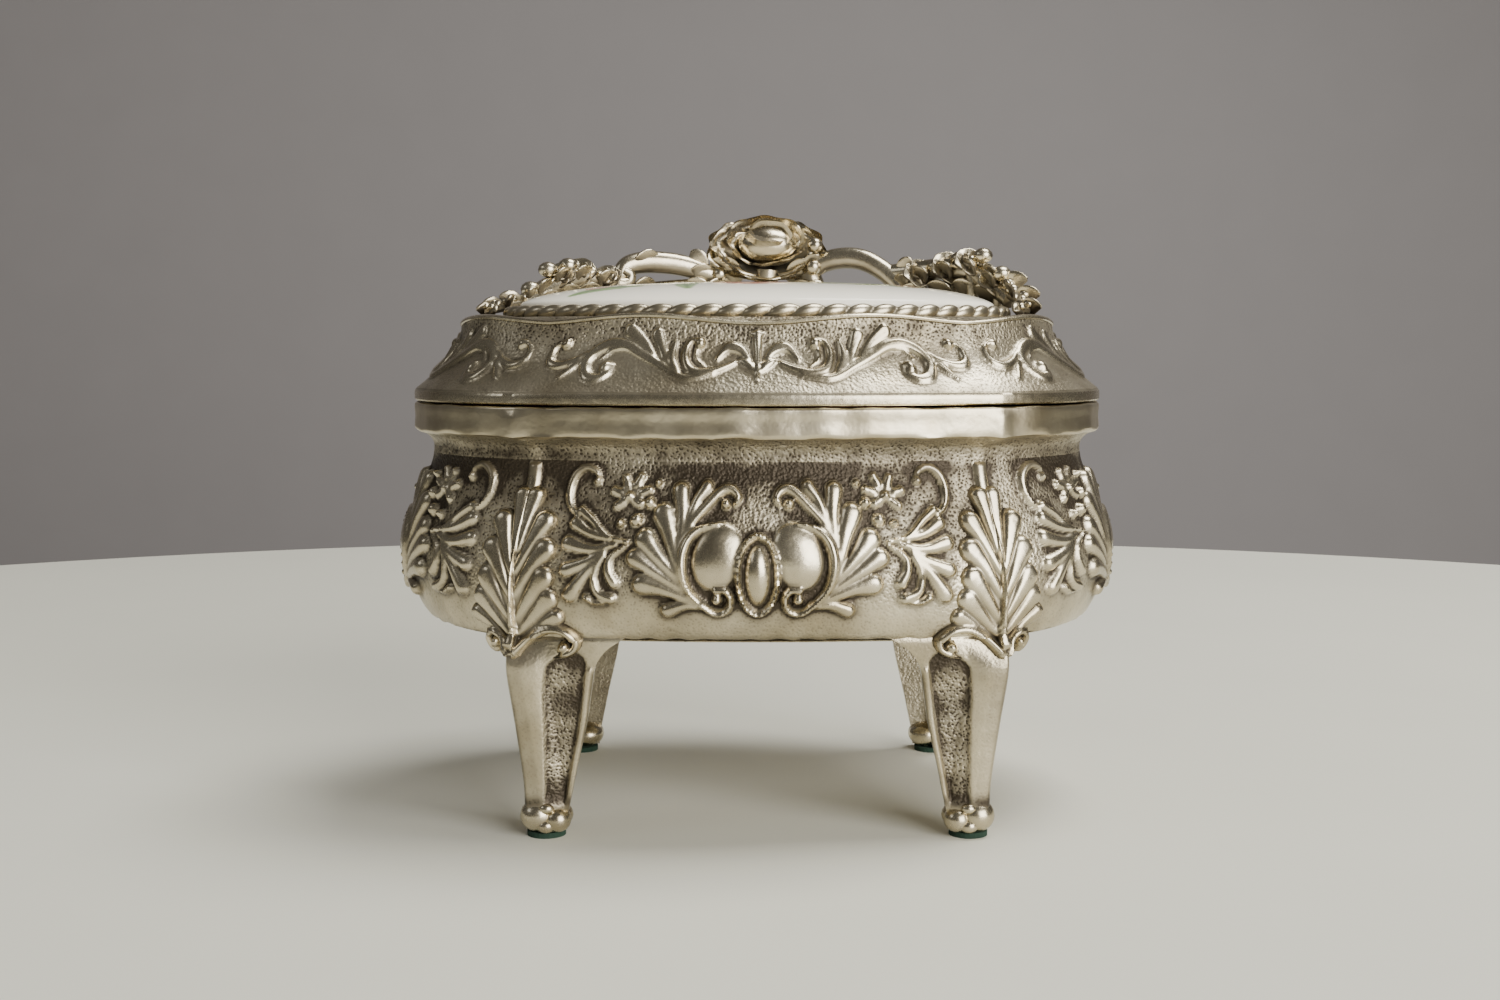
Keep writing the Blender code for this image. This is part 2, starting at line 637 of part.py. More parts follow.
def make_hinge(bench, lid):
    """Two leaves with interleaved knuckles, the pin and four rivets."""
    near = RIM_HALF_DEPTH + SEAT_GAP
    far = near + LEAF_THICKNESS
    swing = KNUCKLE_RADIUS + RUNNING_GAP
    outer_half = (HINGE_HALF_LENGTH - LID_KNUCKLE_HALF_LENGTH - RUNNING_GAP) / 2
    outer_x = HINGE_HALF_LENGTH - outer_half

    top = HINGE_Z - swing
    plate = plate_along_x("plate", [(near, BAND_Z), (far, BAND_Z), (far, top), (near, top)], HINGE_HALF_LENGTH)
    meshes = [plate]
    for centre_x in (-outer_x, outer_x):
        root = [(near, top - RUNNING_GAP), (far, top - RUNNING_GAP), (far, HINGE_Z - PIN_BORE), (near, HINGE_Z - PIN_BORE)]
        meshes.append(plate_along_x("root", root, outer_half, centre_x))
        meshes.append(knuckle(bench, centre_x, outer_half))
    holes = [rivet_hole(f"leaf_hole_{side}", body_rivet_place(side)) for side in (-1, 1)]
    bench.piece("body_hinge_leaf", bench.cut(bench.united(meshes), holes), "polished")

    up, out = lid_slope()
    foot, tip = [Vector((0, y, z)) + out * SEAT_GAP for y, z in lid_leaf_line()]
    sloped = [foot, foot + out * LEAF_THICKNESS, tip + out * LEAF_THICKNESS, tip]
    plate = plate_along_x("plate", [(p.y, p.z) for p in sloped], HINGE_HALF_LENGTH)
    root_foot = HINGE_Z + PIN_BORE
    root_top = foot + up * LEAF_THICKNESS
    root_back = root_top + out * LEAF_THICKNESS
    root = [(near, root_foot), (far, root_foot), (max(far, root_back.y), root_back.z), (root_top.y, root_top.z)]
    meshes = [plate, plate_along_x("root", root, LID_KNUCKLE_HALF_LENGTH)]
    meshes.append(knuckle(bench, 0.0, LID_KNUCKLE_HALF_LENGTH))
    holes = [rivet_hole(f"lid_leaf_hole_{side}", lid_rivet_place(side)) for side in (-1, 1)]
    bench.piece("lid_hinge_leaf", bench.cut(bench.united(meshes), holes), "polished", lid)

    axis = Vector((0, HINGE_Y, HINGE_Z))
    reach = HINGE_HALF_LENGTH + RUNNING_GAP
    pin = [cylinder("pin", axis, (1, 0, 0), PIN_RADIUS, 2 * reach + PIN_HEAD, 16)]
    for side in (-1, 1):
        centre = axis + Vector((side * (reach + PIN_HEAD / 2), 0, 0))
        pin.append(cylinder("head", centre, (side, 0, 0), PIN_HEAD_RADIUS, PIN_HEAD, 16, 0.7))
    bench.piece("hinge_pin", bench.united(pin), "steel")

    for name, side in (("left", -1), ("right", 1)):
        make_rivet(bench, f"body_leaf_rivet_{name}", body_rivet_place(side))
        make_rivet(bench, f"lid_leaf_rivet_{name}", lid_rivet_place(side), lid)


def main():
    clear_scene()
    bench = Bench()
    lid = bpy.data.objects.new("lid_axis", None)
    lid.location = (0, HINGE_Y, HINGE_Z)
    bench.pieces.objects.link(lid)
    bpy.context.view_layer.update()

    make_casket(bench)
    make_base(bench)
    make_legs(bench)
    make_linings(bench)
    make_lid(bench, lid)
    make_plaque(bench, lid)
    for name, side in (("left", -1), ("right", 1)):
        make_garland(bench, lid, name, side)
    make_rose(bench, lid)
    make_hinge(bench, lid)


main()
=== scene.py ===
"""Dresses the footed trinket box: relief castings, porcelain plaque, openwork garland, velvet and felt."""

import json
import logging
import math
from dataclasses import dataclass, field
from enum import Enum
from typing import Any, Callable, Sequence

import bmesh
import bpy
import numpy as np
from mathutils import Matrix, Vector

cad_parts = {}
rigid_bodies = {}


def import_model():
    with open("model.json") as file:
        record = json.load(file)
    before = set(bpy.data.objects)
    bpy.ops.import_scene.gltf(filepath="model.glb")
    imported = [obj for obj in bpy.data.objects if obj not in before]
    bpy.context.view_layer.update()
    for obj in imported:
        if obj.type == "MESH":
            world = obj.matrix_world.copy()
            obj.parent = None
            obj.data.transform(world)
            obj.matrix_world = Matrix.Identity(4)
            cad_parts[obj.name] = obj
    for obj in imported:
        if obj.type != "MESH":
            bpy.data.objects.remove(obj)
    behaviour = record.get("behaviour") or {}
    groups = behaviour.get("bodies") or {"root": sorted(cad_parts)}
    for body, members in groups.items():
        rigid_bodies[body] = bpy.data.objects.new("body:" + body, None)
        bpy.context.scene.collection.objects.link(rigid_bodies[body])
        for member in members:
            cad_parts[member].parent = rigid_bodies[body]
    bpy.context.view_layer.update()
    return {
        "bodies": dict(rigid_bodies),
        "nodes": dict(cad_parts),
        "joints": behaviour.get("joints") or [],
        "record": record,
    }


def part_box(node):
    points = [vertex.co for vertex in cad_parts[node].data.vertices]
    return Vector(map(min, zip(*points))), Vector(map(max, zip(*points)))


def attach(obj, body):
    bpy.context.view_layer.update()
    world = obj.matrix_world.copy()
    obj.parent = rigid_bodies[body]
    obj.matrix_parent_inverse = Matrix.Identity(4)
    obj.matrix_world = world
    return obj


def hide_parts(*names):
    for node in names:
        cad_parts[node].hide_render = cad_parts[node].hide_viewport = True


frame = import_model()
MM = 0.001
LOG = logging.getLogger("trinket_box")
Points = Sequence[tuple[float, float]]
Colour = tuple[float, float, float]
Way = tuple[float, float, float]


class Body(Enum):
    """The two bodies that the box has."""

    BOX = "box"
    LID = "lid"


class Taper(Enum):
    """How a raised stroke's width changes from its start to its end."""

    LOBE = "narrow root, full round tip"
    STEM = "thin at both ends"
    EVEN = "the same all along"
    TAIL = "full at the start, thin at the end"


def box_mm(node: str) -> tuple[Vector, Vector]:
    """The lowest and highest corners of a CAD node, in millimetres."""
    low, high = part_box(node)
    return low / MM, high / MM


def eased(share: np.ndarray | float) -> np.ndarray:
    """A smooth step from 0 to 1, level outside that range."""
    held = np.clip(share, 0.0, 1.0)
    return held * held * (3 - 2 * held)


def bell(value: np.ndarray, middle: float | np.ndarray, width: float) -> np.ndarray:
    """A bell-shaped weight: 1 at the middle, and about a third one width away."""
    return np.exp(-(((value - middle) / width) ** 2))


def full_turn(steps: int) -> np.ndarray:
    """Angles in radians, evenly spaced round a circle."""
    return np.arange(steps) / steps * 2 * math.pi


def unit(vectors: np.ndarray) -> np.ndarray:
    """The same directions, each of length 1."""
    return vectors / np.linalg.norm(vectors, axis=-1, keepdims=True)


def made_mesh(name: str, work: bmesh.types.BMesh) -> bpy.types.Mesh:
    """A new mesh from a bmesh, which is freed."""
    mesh = bpy.data.meshes.new(name)
    work.to_mesh(mesh)
    work.free()
    return mesh


def placed(name: str, data: bpy.types.ID) -> bpy.types.Object:
    """A new object in the scene."""
    made = bpy.data.objects.new(name, data)
    bpy.context.scene.collection.objects.link(made)
    return made


def points_of(mesh: bpy.types.Mesh) -> np.ndarray:
    """A mesh's vertices, one row each, in the mesh's own unit."""
    flat = np.zeros(len(mesh.vertices) * 3, np.float32)
    mesh.vertices.foreach_get("co", flat)
    return flat.reshape(-1, 3)


def curve_through(points: Sequence[Sequence[float]], steps: int = 8) -> np.ndarray:
    """Points on a smooth curve through the given ones.

    Args:
        points: The points that the curve passes through, in two or more dimensions.
        steps: New points for each span.

    Returns:
        An array with one row for each point.
    """
    given = np.array(points, float)
    padded = np.concatenate([2 * given[:1] - given[1:2], given, 2 * given[-1:] - given[-2:-1]])
    t = (np.arange(steps) / steps)[:, None]
    spans = []
    for a, b, c, d in zip(padded, padded[1:], padded[2:], padded[3:]):
        bend = 2 * a - 5 * b + 4 * c - d
        spans.append(b + (c - a) * t / 2 + bend * t**2 / 2 + (3 * b - a - 3 * c + d) * t**3 / 2)
    return np.concatenate([*spans, given[-1:]])


def profile_at(heights: np.ndarray, stations: Points) -> np.ndarray:
    """A smooth profile through (height, value) stations, read at each height."""
    path = curve_through(stations, 12)
    return np.interp(heights, path[:, 0], path[:, 1])


def softened(values: np.ndarray, cells: float, wrap: bool = False) -> np.ndarray:
    """A grid of values blurred by a bell of the given width in cells, along both directions."""
    reach = max(1, int(cells * 2.5))
    weights = np.exp(-0.5 * (np.arange(-reach, reach + 1) / cells) ** 2)
    weights /= weights.sum()
    padded = np.pad(values, ((reach, reach), (0, 0)), mode="edge")
    padded = np.pad(padded, ((0, 0), (reach, reach)), mode="wrap" if wrap else "edge")
    rows = sum(w * padded[i : i + values.shape[0]] for i, w in enumerate(weights))
    return sum(w * rows[:, i : i + values.shape[1]] for i, w in enumerate(weights))


class Relief:
    """Raised ornament over a panel: a height in millimetres at every point of a grid."""

    def __init__(self, along: np.ndarray, up: np.ndarray) -> None:
        """Starts with bare ground at the given panel coordinates, in millimetres."""
        self.along = along
        self.up = up
        self.height = np.zeros_like(along)

    def _window(self, path: np.ndarray, reach: float) -> np.ndarray:
        """The grid points within reach of a path's box."""
        low, high = path.min(0) - reach, path.max(0) + reach
        inside = (self.along > low[0]) & (self.along < high[0]) & (self.up > low[1]) & (self.up < high[1])
        return np.nonzero(inside)

    def stroke(
        self,
        points: Points,
        width: float,
        height: float,
        taper: Taper = Taper.LOBE,
        groove: float = 0.0,
        mirrored: bool = True,
    ) -> None:
        """Raises a rounded bar or leaf lobe along a smooth path.

        Args:
            points: Where it runs, as (along, up) in millimetres.
            width: Half its widest breadth.
            height: How far it stands out.
            taper: How its breadth changes.
            groove: Depth of a channel down its middle, as a share of its height.
            mirrored: Whether it is repeated on the other side of the panel's middle.
        """
        path = curve_through(points, 6)
        sides = (1.0, -1.0) if mirrored else (1.0,)
        share = np.linspace(0, 1, len(path))
        breadth = {
            Taper.LOBE: 0.32 + 0.68 * share**0.8,
            Taper.STEM: 0.4 + 0.6 * np.sin(math.pi * share),
            Taper.EVEN: np.ones_like(share),
            Taper.TAIL: 1.0 - 0.65 * share,
        }[taper] * width
        for side in sides:
            line = path * (side, 1.0)
            near = self._window(line, width)
            px, py = self.along[near], self.up[near]
            found = self.height[near]
            for start, end, w0, w1 in zip(line, line[1:], breadth, breadth[1:]):
                run = end - start
                length = max(float(run @ run), 1e-9)
                t = np.clip(((px - start[0]) * run[0] + (py - start[1]) * run[1]) / length, 0, 1)
                off = np.hypot(px - start[0] - t * run[0], py - start[1] - t * run[1])
                here = w0 + (w1 - w0) * t
                ratio = np.clip(off / here, 0, 1)
                rise = height * (0.55 + 0.45 * here / width) * np.sqrt(1 - ratio**2)
                rise *= 1 - groove * bell(ratio, 0, 0.38)
                found = np.maximum(found, rise)
            self.height[near] = found

    def dome(
        self,
        centre: tuple[float, float],
        radii: tuple[float, float],
        height: float,
        turn: float = 0.0,
        mirrored: bool = True,
    ) -> None:
        """Raises a rounded boss; turn is in degrees."""
        for side in (1.0, -1.0) if mirrored else (1.0,):
            middle = np.array([[centre[0] * side, centre[1]]])
            near = self._window(middle, max(radii))
            dx, dy = self.along[near] - middle[0, 0], self.up[near] - middle[0, 1]
            c, s = math.cos(math.radians(turn * side)), math.sin(math.radians(turn * side))
            ratio = ((dx * c + dy * s) / radii[0]) ** 2 + ((dy * c - dx * s) / radii[1]) ** 2
            rise = height * np.sqrt(np.clip(1 - ratio, 0, 1))
            self.height[near] = np.maximum(self.height[near], rise)


def casket_motif(relief: Relief) -> None:
    """The belly panels' ornament: a beaded cabochon on two bulbs, acanthus sprays, flowers and C-scrolls."""
    relief.dome((5.6, 42.9), (3.7, 5.0), 1.35, 12)
    relief.dome((0.0, 40.3), (3.2, 5.9), 0.75, mirrored=False)
    relief.dome((0.0, 40.3), (1.9, 4.4), 1.9, mirrored=False)
    beads = 30
    for number in range(beads):
        turn = 2 * math.pi * number / beads
        place = (2.75 * math.cos(turn), 40.3 + 5.35 * math.sin(turn))
        relief.dome(place, (0.58, 0.58), 1.75, mirrored=False)
    ring = [(2.75 * math.cos(0.4 * step), 40.3 + 5.35 * math.sin(0.4 * step)) for step in range(17)]
    relief.stroke(ring, 0.5, 1.4, Taper.EVEN, mirrored=False)
    lobes: tuple[tuple[Points, float], ...] = (
        (((10.9, 43.0), (9.3, 49.6), (7.5, 52.6)), 1.1),
        (((11.0, 42.6), (10.9, 48.4), (11.4, 52.0)), 1.45),
        (((10.9, 40.4), (12.4, 45.6), (13.7, 48.8)), 1.7),
        (((10.7, 39.4), (14.3, 43.2), (16.0, 45.2)), 1.65),
        (((10.4, 38.2), (14.9, 41.1), (17.2, 42.6)), 1.45),
        (((8.9, 36.6), (13.4, 38.3), (16.0, 38.9)), 1.6),
        (((7.4, 35.7), (10.2, 36.0), (12.5, 35.2)), 1.15),
    )
    for points, width in lobes:
        relief.stroke(points, width, 1.3, groove=0.05)
    curl = ((10.5, 43.5), (9.7, 46.9), (7.4, 49.9), (5.2, 52.0), (3.7, 52.1), (2.8, 51.0), (3.3, 50.0))
    relief.stroke(curl, 0.85, 1.3, Taper.STEM, groove=0.12)
    relief.dome((4.6, 50.1), (0.85, 0.85), 1.35)
    stem = ((5.6, 47.3), (8.2, 46.6), (10.0, 44.8), (10.6, 41.8), (9.7, 38.4), (7.3, 35.8))
    relief.stroke(stem, 0.85, 1.6, Taper.STEM)
    volute = ((7.9, 36.3), (6.0, 35.0), (4.4, 35.3), (3.7, 36.8), (4.4, 38.2), (5.8, 38.2))
    relief.stroke(volute, 0.62, 1.45, Taper.EVEN)
    relief.dome((5.6, 36.9), (0.85, 0.85), 1.6)
    flower = (19.1, 51.1)
    petals = ((16.1, 52.1), (17.6, 54.0), (20.1, 53.8), (21.8, 51.9), (21.0, 49.7), (17.3, 50.0))
    for tip in petals:
        lean = math.degrees(math.atan2(tip[1] - flower[1], tip[0] - flower[0]))
        middle = (flower[0] * 0.3 + tip[0] * 0.7, flower[1] * 0.3 + tip[1] * 0.7)
        relief.dome(middle, (1.45, 0.8), 0.8, lean)
        relief.dome(tip, (0.5, 0.75), 1.0, lean)
    relief.dome(flower, (0.8, 0.8), 1.25)
    for x, y, radius in ((15.9, 50.2, 0.95), (17.6, 47.8, 1.05), (19.9, 47.3, 0.7), (14.9, 53.0, 0.6)):
        relief.dome((x, y), (radius, radius), 1.35)
    scroll = (
        (24.2, 53.2), (24.9, 54.6), (26.6, 55.1), (28.2, 54.0), (28.8, 51.8), (28.2, 49.7), (26.7, 48.2),
    )
    relief.stroke(scroll, 0.75, 1.1, Taper.STEM, groove=0.12)
    relief.dome((24.5, 53.2), (0.7, 0.7), 1.15)
    sprigs: tuple[tuple[Points, float], ...] = (
        (((18.2, 44.7), (21.6, 45.4), (24.3, 47.6), (26.3, 49.0)), 0.75),
        (((21.4, 44.9), (24.5, 45.9), (26.8, 47.2)), 1.05),
        (((20.4, 44.3), (24.0, 43.6), (27.4, 44.4)), 1.2),
        (((21.8, 43.3), (24.4, 41.8), (27.2, 40.6)), 1.2),
        (((22.2, 42.6), (24.7, 39.8), (26.6, 37.0)), 1.2),
        (((21.7, 43.0), (23.0, 40.2), (22.6, 37.6), (20.6, 36.6)), 0.85),
        (((18.6, 44.3), (20.8, 42.6), (21.0, 40.6), (20.1, 38.9)), 0.9),
        (((20.0, 36.5), (22.6, 36.0), (24.2, 36.8)), 0.6),
    )
    for points, width in sprigs:
        relief.stroke(points, width, 1.05, groove=0.06)


def lid_motif(relief: Relief) -> None:
    """The lid wall's ornament: a bud in the middle and running leaf scrolls with bead ends."""
    relief.stroke(((0.0, 74.6), (0.0, 71.6), (0.0, 67.9)), 0.95, 0.8, Taper.TAIL, mirrored=False)
    relief.stroke(((0.4, 74.4), (1.2, 75.0)), 0.6, 0.55, Taper.TAIL)
    relief.stroke(((1.2, 70.6), (2.7, 72.2), (4.7, 72.5), (6.4, 70.7)), 0.9, 0.7, Taper.STEM, groove=0.2)
    relief.stroke(((0.5, 69.0), (1.4, 70.0), (2.7, 70.6)), 0.75, 0.65, Taper.STEM)
    relief.dome((9.2, 73.0), (0.95, 0.95), 0.95)
    scroll = ((9.6, 73.6), (10.9, 73.0), (11.4, 71.2), (10.5, 69.4), (8.5, 68.8), (5.8, 69.3), (3.4, 70.3))
    relief.stroke(scroll, 0.75, 0.7, Taper.STEM)
    relief.stroke(((9.6, 72.2), (9.5, 70.7), (8.0, 69.6)), 0.5, 0.5, Taper.TAIL)
    stem = (
        (6.6, 68.6), (10.9, 68.1), (14.9, 69.8), (18.3, 71.3), (20.8, 72.4), (23.6, 72.7), (26.0, 71.7),
        (26.9, 70.1), (26.0, 68.4), (24.2, 67.9), (22.7, 68.6), (22.6, 69.7),
    )
    relief.stroke(stem, 0.9, 0.72, Taper.STEM, groove=0.1)
    relief.dome((23.4, 69.4), (0.95, 0.95), 0.95)
    relief.stroke(((21.5, 72.2), (23.4, 71.8), (24.6, 70.6)), 0.5, 0.55, Taper.TAIL)
    relief.stroke(((11.7, 68.5), (13.4, 70.6), (13.2, 73.2)), 0.85, 0.65, Taper.STEM)
    relief.stroke(((14.0, 69.6), (15.1, 71.9), (16.2, 73.9)), 1.1, 0.68, groove=0.2)
    relief.stroke(((15.8, 70.4), (18.3, 72.8), (20.8, 74.4)), 1.15, 0.68, groove=0.2)
    relief.dome((31.3, 73.0), (0.9, 0.9), 0.9)
    corner = ((31.9, 73.5), (33.2, 72.2), (32.9, 70.3), (31.0, 69.8), (28.6, 70.6), (27.3, 71.6))
    relief.stroke(corner, 0.7, 0.7, Taper.STEM)
    relief.stroke(((28.2, 70.2), (29.2, 69.0), (30.2, 67.9)), 0.75, 0.6, Taper.TAIL)


@dataclass(frozen=True)
class Outline:
    """The closed plan of the casket: four bowed panels, each cut into its own number of columns.

    Attributes:
        columns: Columns on the front, right, back and left panels.
    """

    columns: tuple[int, int, int, int] = (270, 232, 232, 232)

    def shares(self) -> list[np.ndarray]:
        """For each panel, how far along it each column lies, from -1 up to but not including 1."""
        return [np.arange(count) / count * 2 - 1 for count in self.columns]

    def place(
        self, corner_x: np.ndarray, corner_y: np.ndarray, half_width: np.ndarray, half_depth: np.ndarray
    ) -> tuple[np.ndarray, np.ndarray]:
        """Plan positions of every column, for rows of outlines.

        Args:
            corner_x: Where the corners are along X, one value for each row or a whole grid.
            corner_y: The same along Y.
            half_width: From the middle to the end panels.
            half_depth: From the middle to the front and back panels.

        Returns:
            The X and Y grids, a row for each outline.
        """
        xs, ys = [], []
        for panel, share in enumerate(self.shares()):
            ends = panel % 2 == 1
            chord = corner_y if ends else corner_x
            bow = half_width - corner_x if ends else half_depth - corner_y
            chord, bow = (self._panel(grid, panel) for grid in (chord, bow))
            radius = (chord**2 + bow**2) / (2 * bow)
            angle = share[None, :] * np.arcsin(np.clip(chord / radius, -1, 1))
            run, out = radius * np.sin(angle), radius * np.cos(angle) - radius + bow
            near = self._panel(corner_x if ends else corner_y, panel)
            sign = 1.0 if panel in (0, 1) else -1.0
            xs.append((near + out) * sign if ends else run * sign)
            ys.append(run * sign if ends else -(near + out) * sign)
        return np.concatenate(xs, 1), np.concatenate(ys, 1)

    def _panel(self, grid: np.ndarray, panel: int) -> np.ndarray:
        """The part of a grid that lies on one panel; a column of row values is kept whole."""
        if grid.shape[1] == 1:
            return grid
        start = sum(self.columns[:panel])
        return grid[:, start : start + self.columns[panel]]

    def decorated(self, heights: np.ndarray, reach: float, motif: Callable[[Relief], None]) -> np.ndarray:
        """Heights of a motif repeated on every panel.

        Args:
            heights: The height of every grid point above the table, in millimetres.
            reach: The panel coordinate at the corners.
            motif: What draws the ornament.

        Returns:
            A grid of relief heights.
        """
        parts = []
        for panel, share in enumerate(self.shares()):
            rows = self._panel(heights, panel)
            along = np.broadcast_to(share[None, :] * reach, (rows.shape[0], len(share)))
            relief = Relief(along.copy(), np.broadcast_to(rows, along.shape).copy())
            motif(relief)
            parts.append(softened(relief.height, 0.6))
        return np.concatenate(parts, 1)


def outward(x: np.ndarray, y: np.ndarray, z: np.ndarray) -> np.ndarray:
    """Unit normals of a grid that closes on itself along its columns."""
    place = np.stack([x, y, z], -1)
    wrapped = np.concatenate([place[:, -1:], place, place[:, :1]], 1)
    along = wrapped[:, 2:] - wrapped[:, :-2]
    up = np.gradient(place, axis=0)
    normal = np.cross(along, up)
    return normal / np.maximum(np.linalg.norm(normal, axis=-1, keepdims=True), 1e-12)


@dataclass
class Sheet:
    """A grid of points that becomes a mesh.

    Attributes:
        place: Rows by columns by XYZ, in millimetres.
        tarnish_and_shade: How far each point is sunk and tarnished, 0 to 1; in places it also carries painted
            shade.
        ground: Whether each point is matted ground, 0 to 1.
    """

    place: np.ndarray
    tarnish_and_shade: np.ndarray | None = None
    ground: np.ndarray | None = None

    def mesh(self, name: str, wrap_rows: bool = False, wrap_columns: bool = False) -> bpy.types.Mesh:
        """The grid as a mesh, with its first and last rows or columns joined where asked."""
        place = self.place
        layers = {"tarnish_and_shade": self.tarnish_and_shade, "ground": self.ground}
        layers = {key: grid for key, grid in layers.items() if grid is not None}
        if wrap_columns:
            place = np.concatenate([place, place[:, :1]], 1)
            layers = {key: np.concatenate([grid, grid[:, :1]], 1) for key, grid in layers.items()}
        if wrap_rows:
            place = np.concatenate([place, place[:1]], 0)
            layers = {key: np.concatenate([grid, grid[:1]], 0) for key, grid in layers.items()}
        rows, columns = place.shape[:2]
        work = bmesh.new()
        bmesh.ops.create_grid(work, x_segments=columns - 1, y_segments=rows - 1, size=0.5)
        mesh = made_mesh(name, work)
        flat = points_of(mesh)
        column = np.rint((flat[:, 0] + 0.5) * (columns - 1)).astype(int)
        row = np.rint((flat[:, 1] + 0.5) * (rows - 1)).astype(int)
        mesh.vertices.foreach_set("co", (place[row, column] * MM).astype(np.float32).ravel())
        for key, grid in layers.items():
            layer = mesh.attributes.new(key, "FLOAT", "POINT")
            layer.data.foreach_set("value", grid[row, column].astype(np.float32))
        work = bmesh.new()
        work.from_mesh(mesh)
        bmesh.ops.remove_doubles(work, verts=work.verts, dist=1e-7)
        bmesh.ops.recalc_face_normals(work, faces=work.faces)
        work.to_mesh(mesh)
        work.free()
        return mesh

    def tube(self, name: str) -> bpy.types.Mesh:
        """The grid as a tube closed along its columns, with both ends filled."""
        mesh = self.mesh(name, wrap_columns=True)
        work = bmesh.new()
        work.from_mesh(mesh)
        bmesh.ops.holes_fill(work, edges=[edge for edge in work.edges if edge.is_boundary], sides=0)
        bmesh.ops.recalc_face_normals(work, faces=work.faces)
        work.to_mesh(mesh)
        work.free()
        return mesh


def patina(height: np.ndarray, cell: float, wrap: bool = True) -> tuple[np.ndarray, np.ndarray]:
    """Where a relief is sunk among raised work, and where it is bare ground.

    Args:
        height: Relief heights in millimetres.
        cell: The grid's spacing in millimetres.
        wrap: Whether the columns close on themselves.

    Returns:
        The cavity and ground grids, 0 to 1.
    """
    close = softened(height, 0.55 / cell, wrap)
    wide = softened(height, 1.5 / cell, wrap)
    tarnish_and_shade = np.clip((close - height) * 2.4, 0, 1) + np.clip((wide - height) * 0.8, 0, 0.6)
    # The grid of tarnish in the hollows, and the ground grid, 0 to 1.
    ground = 1 - eased(height / 0.22)
    return np.clip(tarnish_and_shade, 0, 1), ground


# ---------------------------------------------------------------- finishes


class Graph:
    """A material's node tree, with short ways to add and join nodes."""

    def __init__(self, name: str) -> None:
        """Starts a material with only its output and Principled shader."""
        self.material = bpy.data.materials.new(name)
        self.material.use_nodes = True
        self.tree = self.material.node_tree
        self.shader = self.tree.nodes["Principled BSDF"]

    def node(self, kind: str, inputs: dict[str | int, Any] | None = None, **settings: Any) -> bpy.types.Node:
        """Adds a node; an input takes a value or another node's output socket."""
        made = self.tree.nodes.new(kind)
        for key, value in settings.items():
            setattr(made, key, value)
        for key, value in (inputs or {}).items():
            self.put(made.inputs[key], value)
        return made

    def put(self, socket: bpy.types.NodeSocket, value: Any) -> None:
        """Links a socket to an output, or sets its own value."""
        if isinstance(value, bpy.types.NodeSocket):
            self.tree.links.new(value, socket)
        else:
            socket.default_value = value

    def math(self, operation: str, first: Any, second: Any, clamp: bool = False) -> bpy.types.NodeSocket:
        """A Math node's result."""
        made = self.node("ShaderNodeMath", {0: first, 1: second}, operation=operation, use_clamp=clamp)
        return made.outputs[0]

    def times(self, first: Any, second: Any, clamp: bool = False) -> bpy.types.NodeSocket:
        """The product of two values."""
        return self.math("MULTIPLY", first, second, clamp)

    def plus(self, first: Any, second: Any, clamp: bool = False) -> bpy.types.NodeSocket:
        """The sum of two values."""
        return self.math("ADD", first, second, clamp)

    def over(self, value: Any, floor: Any) -> bpy.types.NodeSocket:
        """How far a value stands above a floor, and 0 below it."""
        return self.math("SUBTRACT", value, floor, True)

    def mix(self, share: Any, first: Any, second: Any) -> bpy.types.NodeSocket:
        """Two colours mixed."""
        made = self.node("ShaderNodeMix", data_type="RGBA")
        for socket, value in zip((made.inputs[0], made.inputs[6], made.inputs[7]), (share, first, second)):
            self.put(socket, value)
        return made.outputs[2]

    def attribute(self, name: str) -> bpy.types.NodeSocket:
        """A named attribute of the piece, as a number."""
        return self.node("ShaderNodeAttribute", attribute_name=name).outputs["Fac"]

    def noise(self, size: float, detail: float = 3.0, roughness: float = 0.55) -> bpy.types.NodeSocket:
        """Noise whose features are about size millimetres across, on Object coordinates."""
        where = self.node("ShaderNodeTexCoord").outputs["Object"]
        inputs = {"Vector": where, "Scale": 1 / (size * MM), "Detail": detail, "Roughness": roughness}
        return self.node("ShaderNodeTexNoise", inputs).outputs["Fac"]

    def pits(self, size: float) -> bpy.types.NodeSocket:
        """Rounded cells about size millimetres across, 0 at each cell's middle."""
        where = self.node("ShaderNodeTexCoord").outputs["Object"]
        inputs = {"Vector": where, "Scale": 1 / (size * MM)}
        return self.node("ShaderNodeTexVoronoi", inputs, feature="SMOOTH_F1").outputs["Distance"]

    def bump(self, height: Any, distance: float, strength: float, below: Any = None) -> bpy.types.NodeSocket:
        """A bump normal; distance is in millimetres."""
        inputs = {"Height": height, "Distance": distance * MM, "Strength": strength}
        if below is not None:
            inputs["Normal"] = below
        return self.node("ShaderNodeBump", inputs).outputs[0]

    def set(self, **values: Any) -> None:
        """Sets or links the shader's own sockets; underscores stand for spaces."""
        for key, value in values.items():
            self.put(self.shader.inputs[key.replace("_", " ")], value)


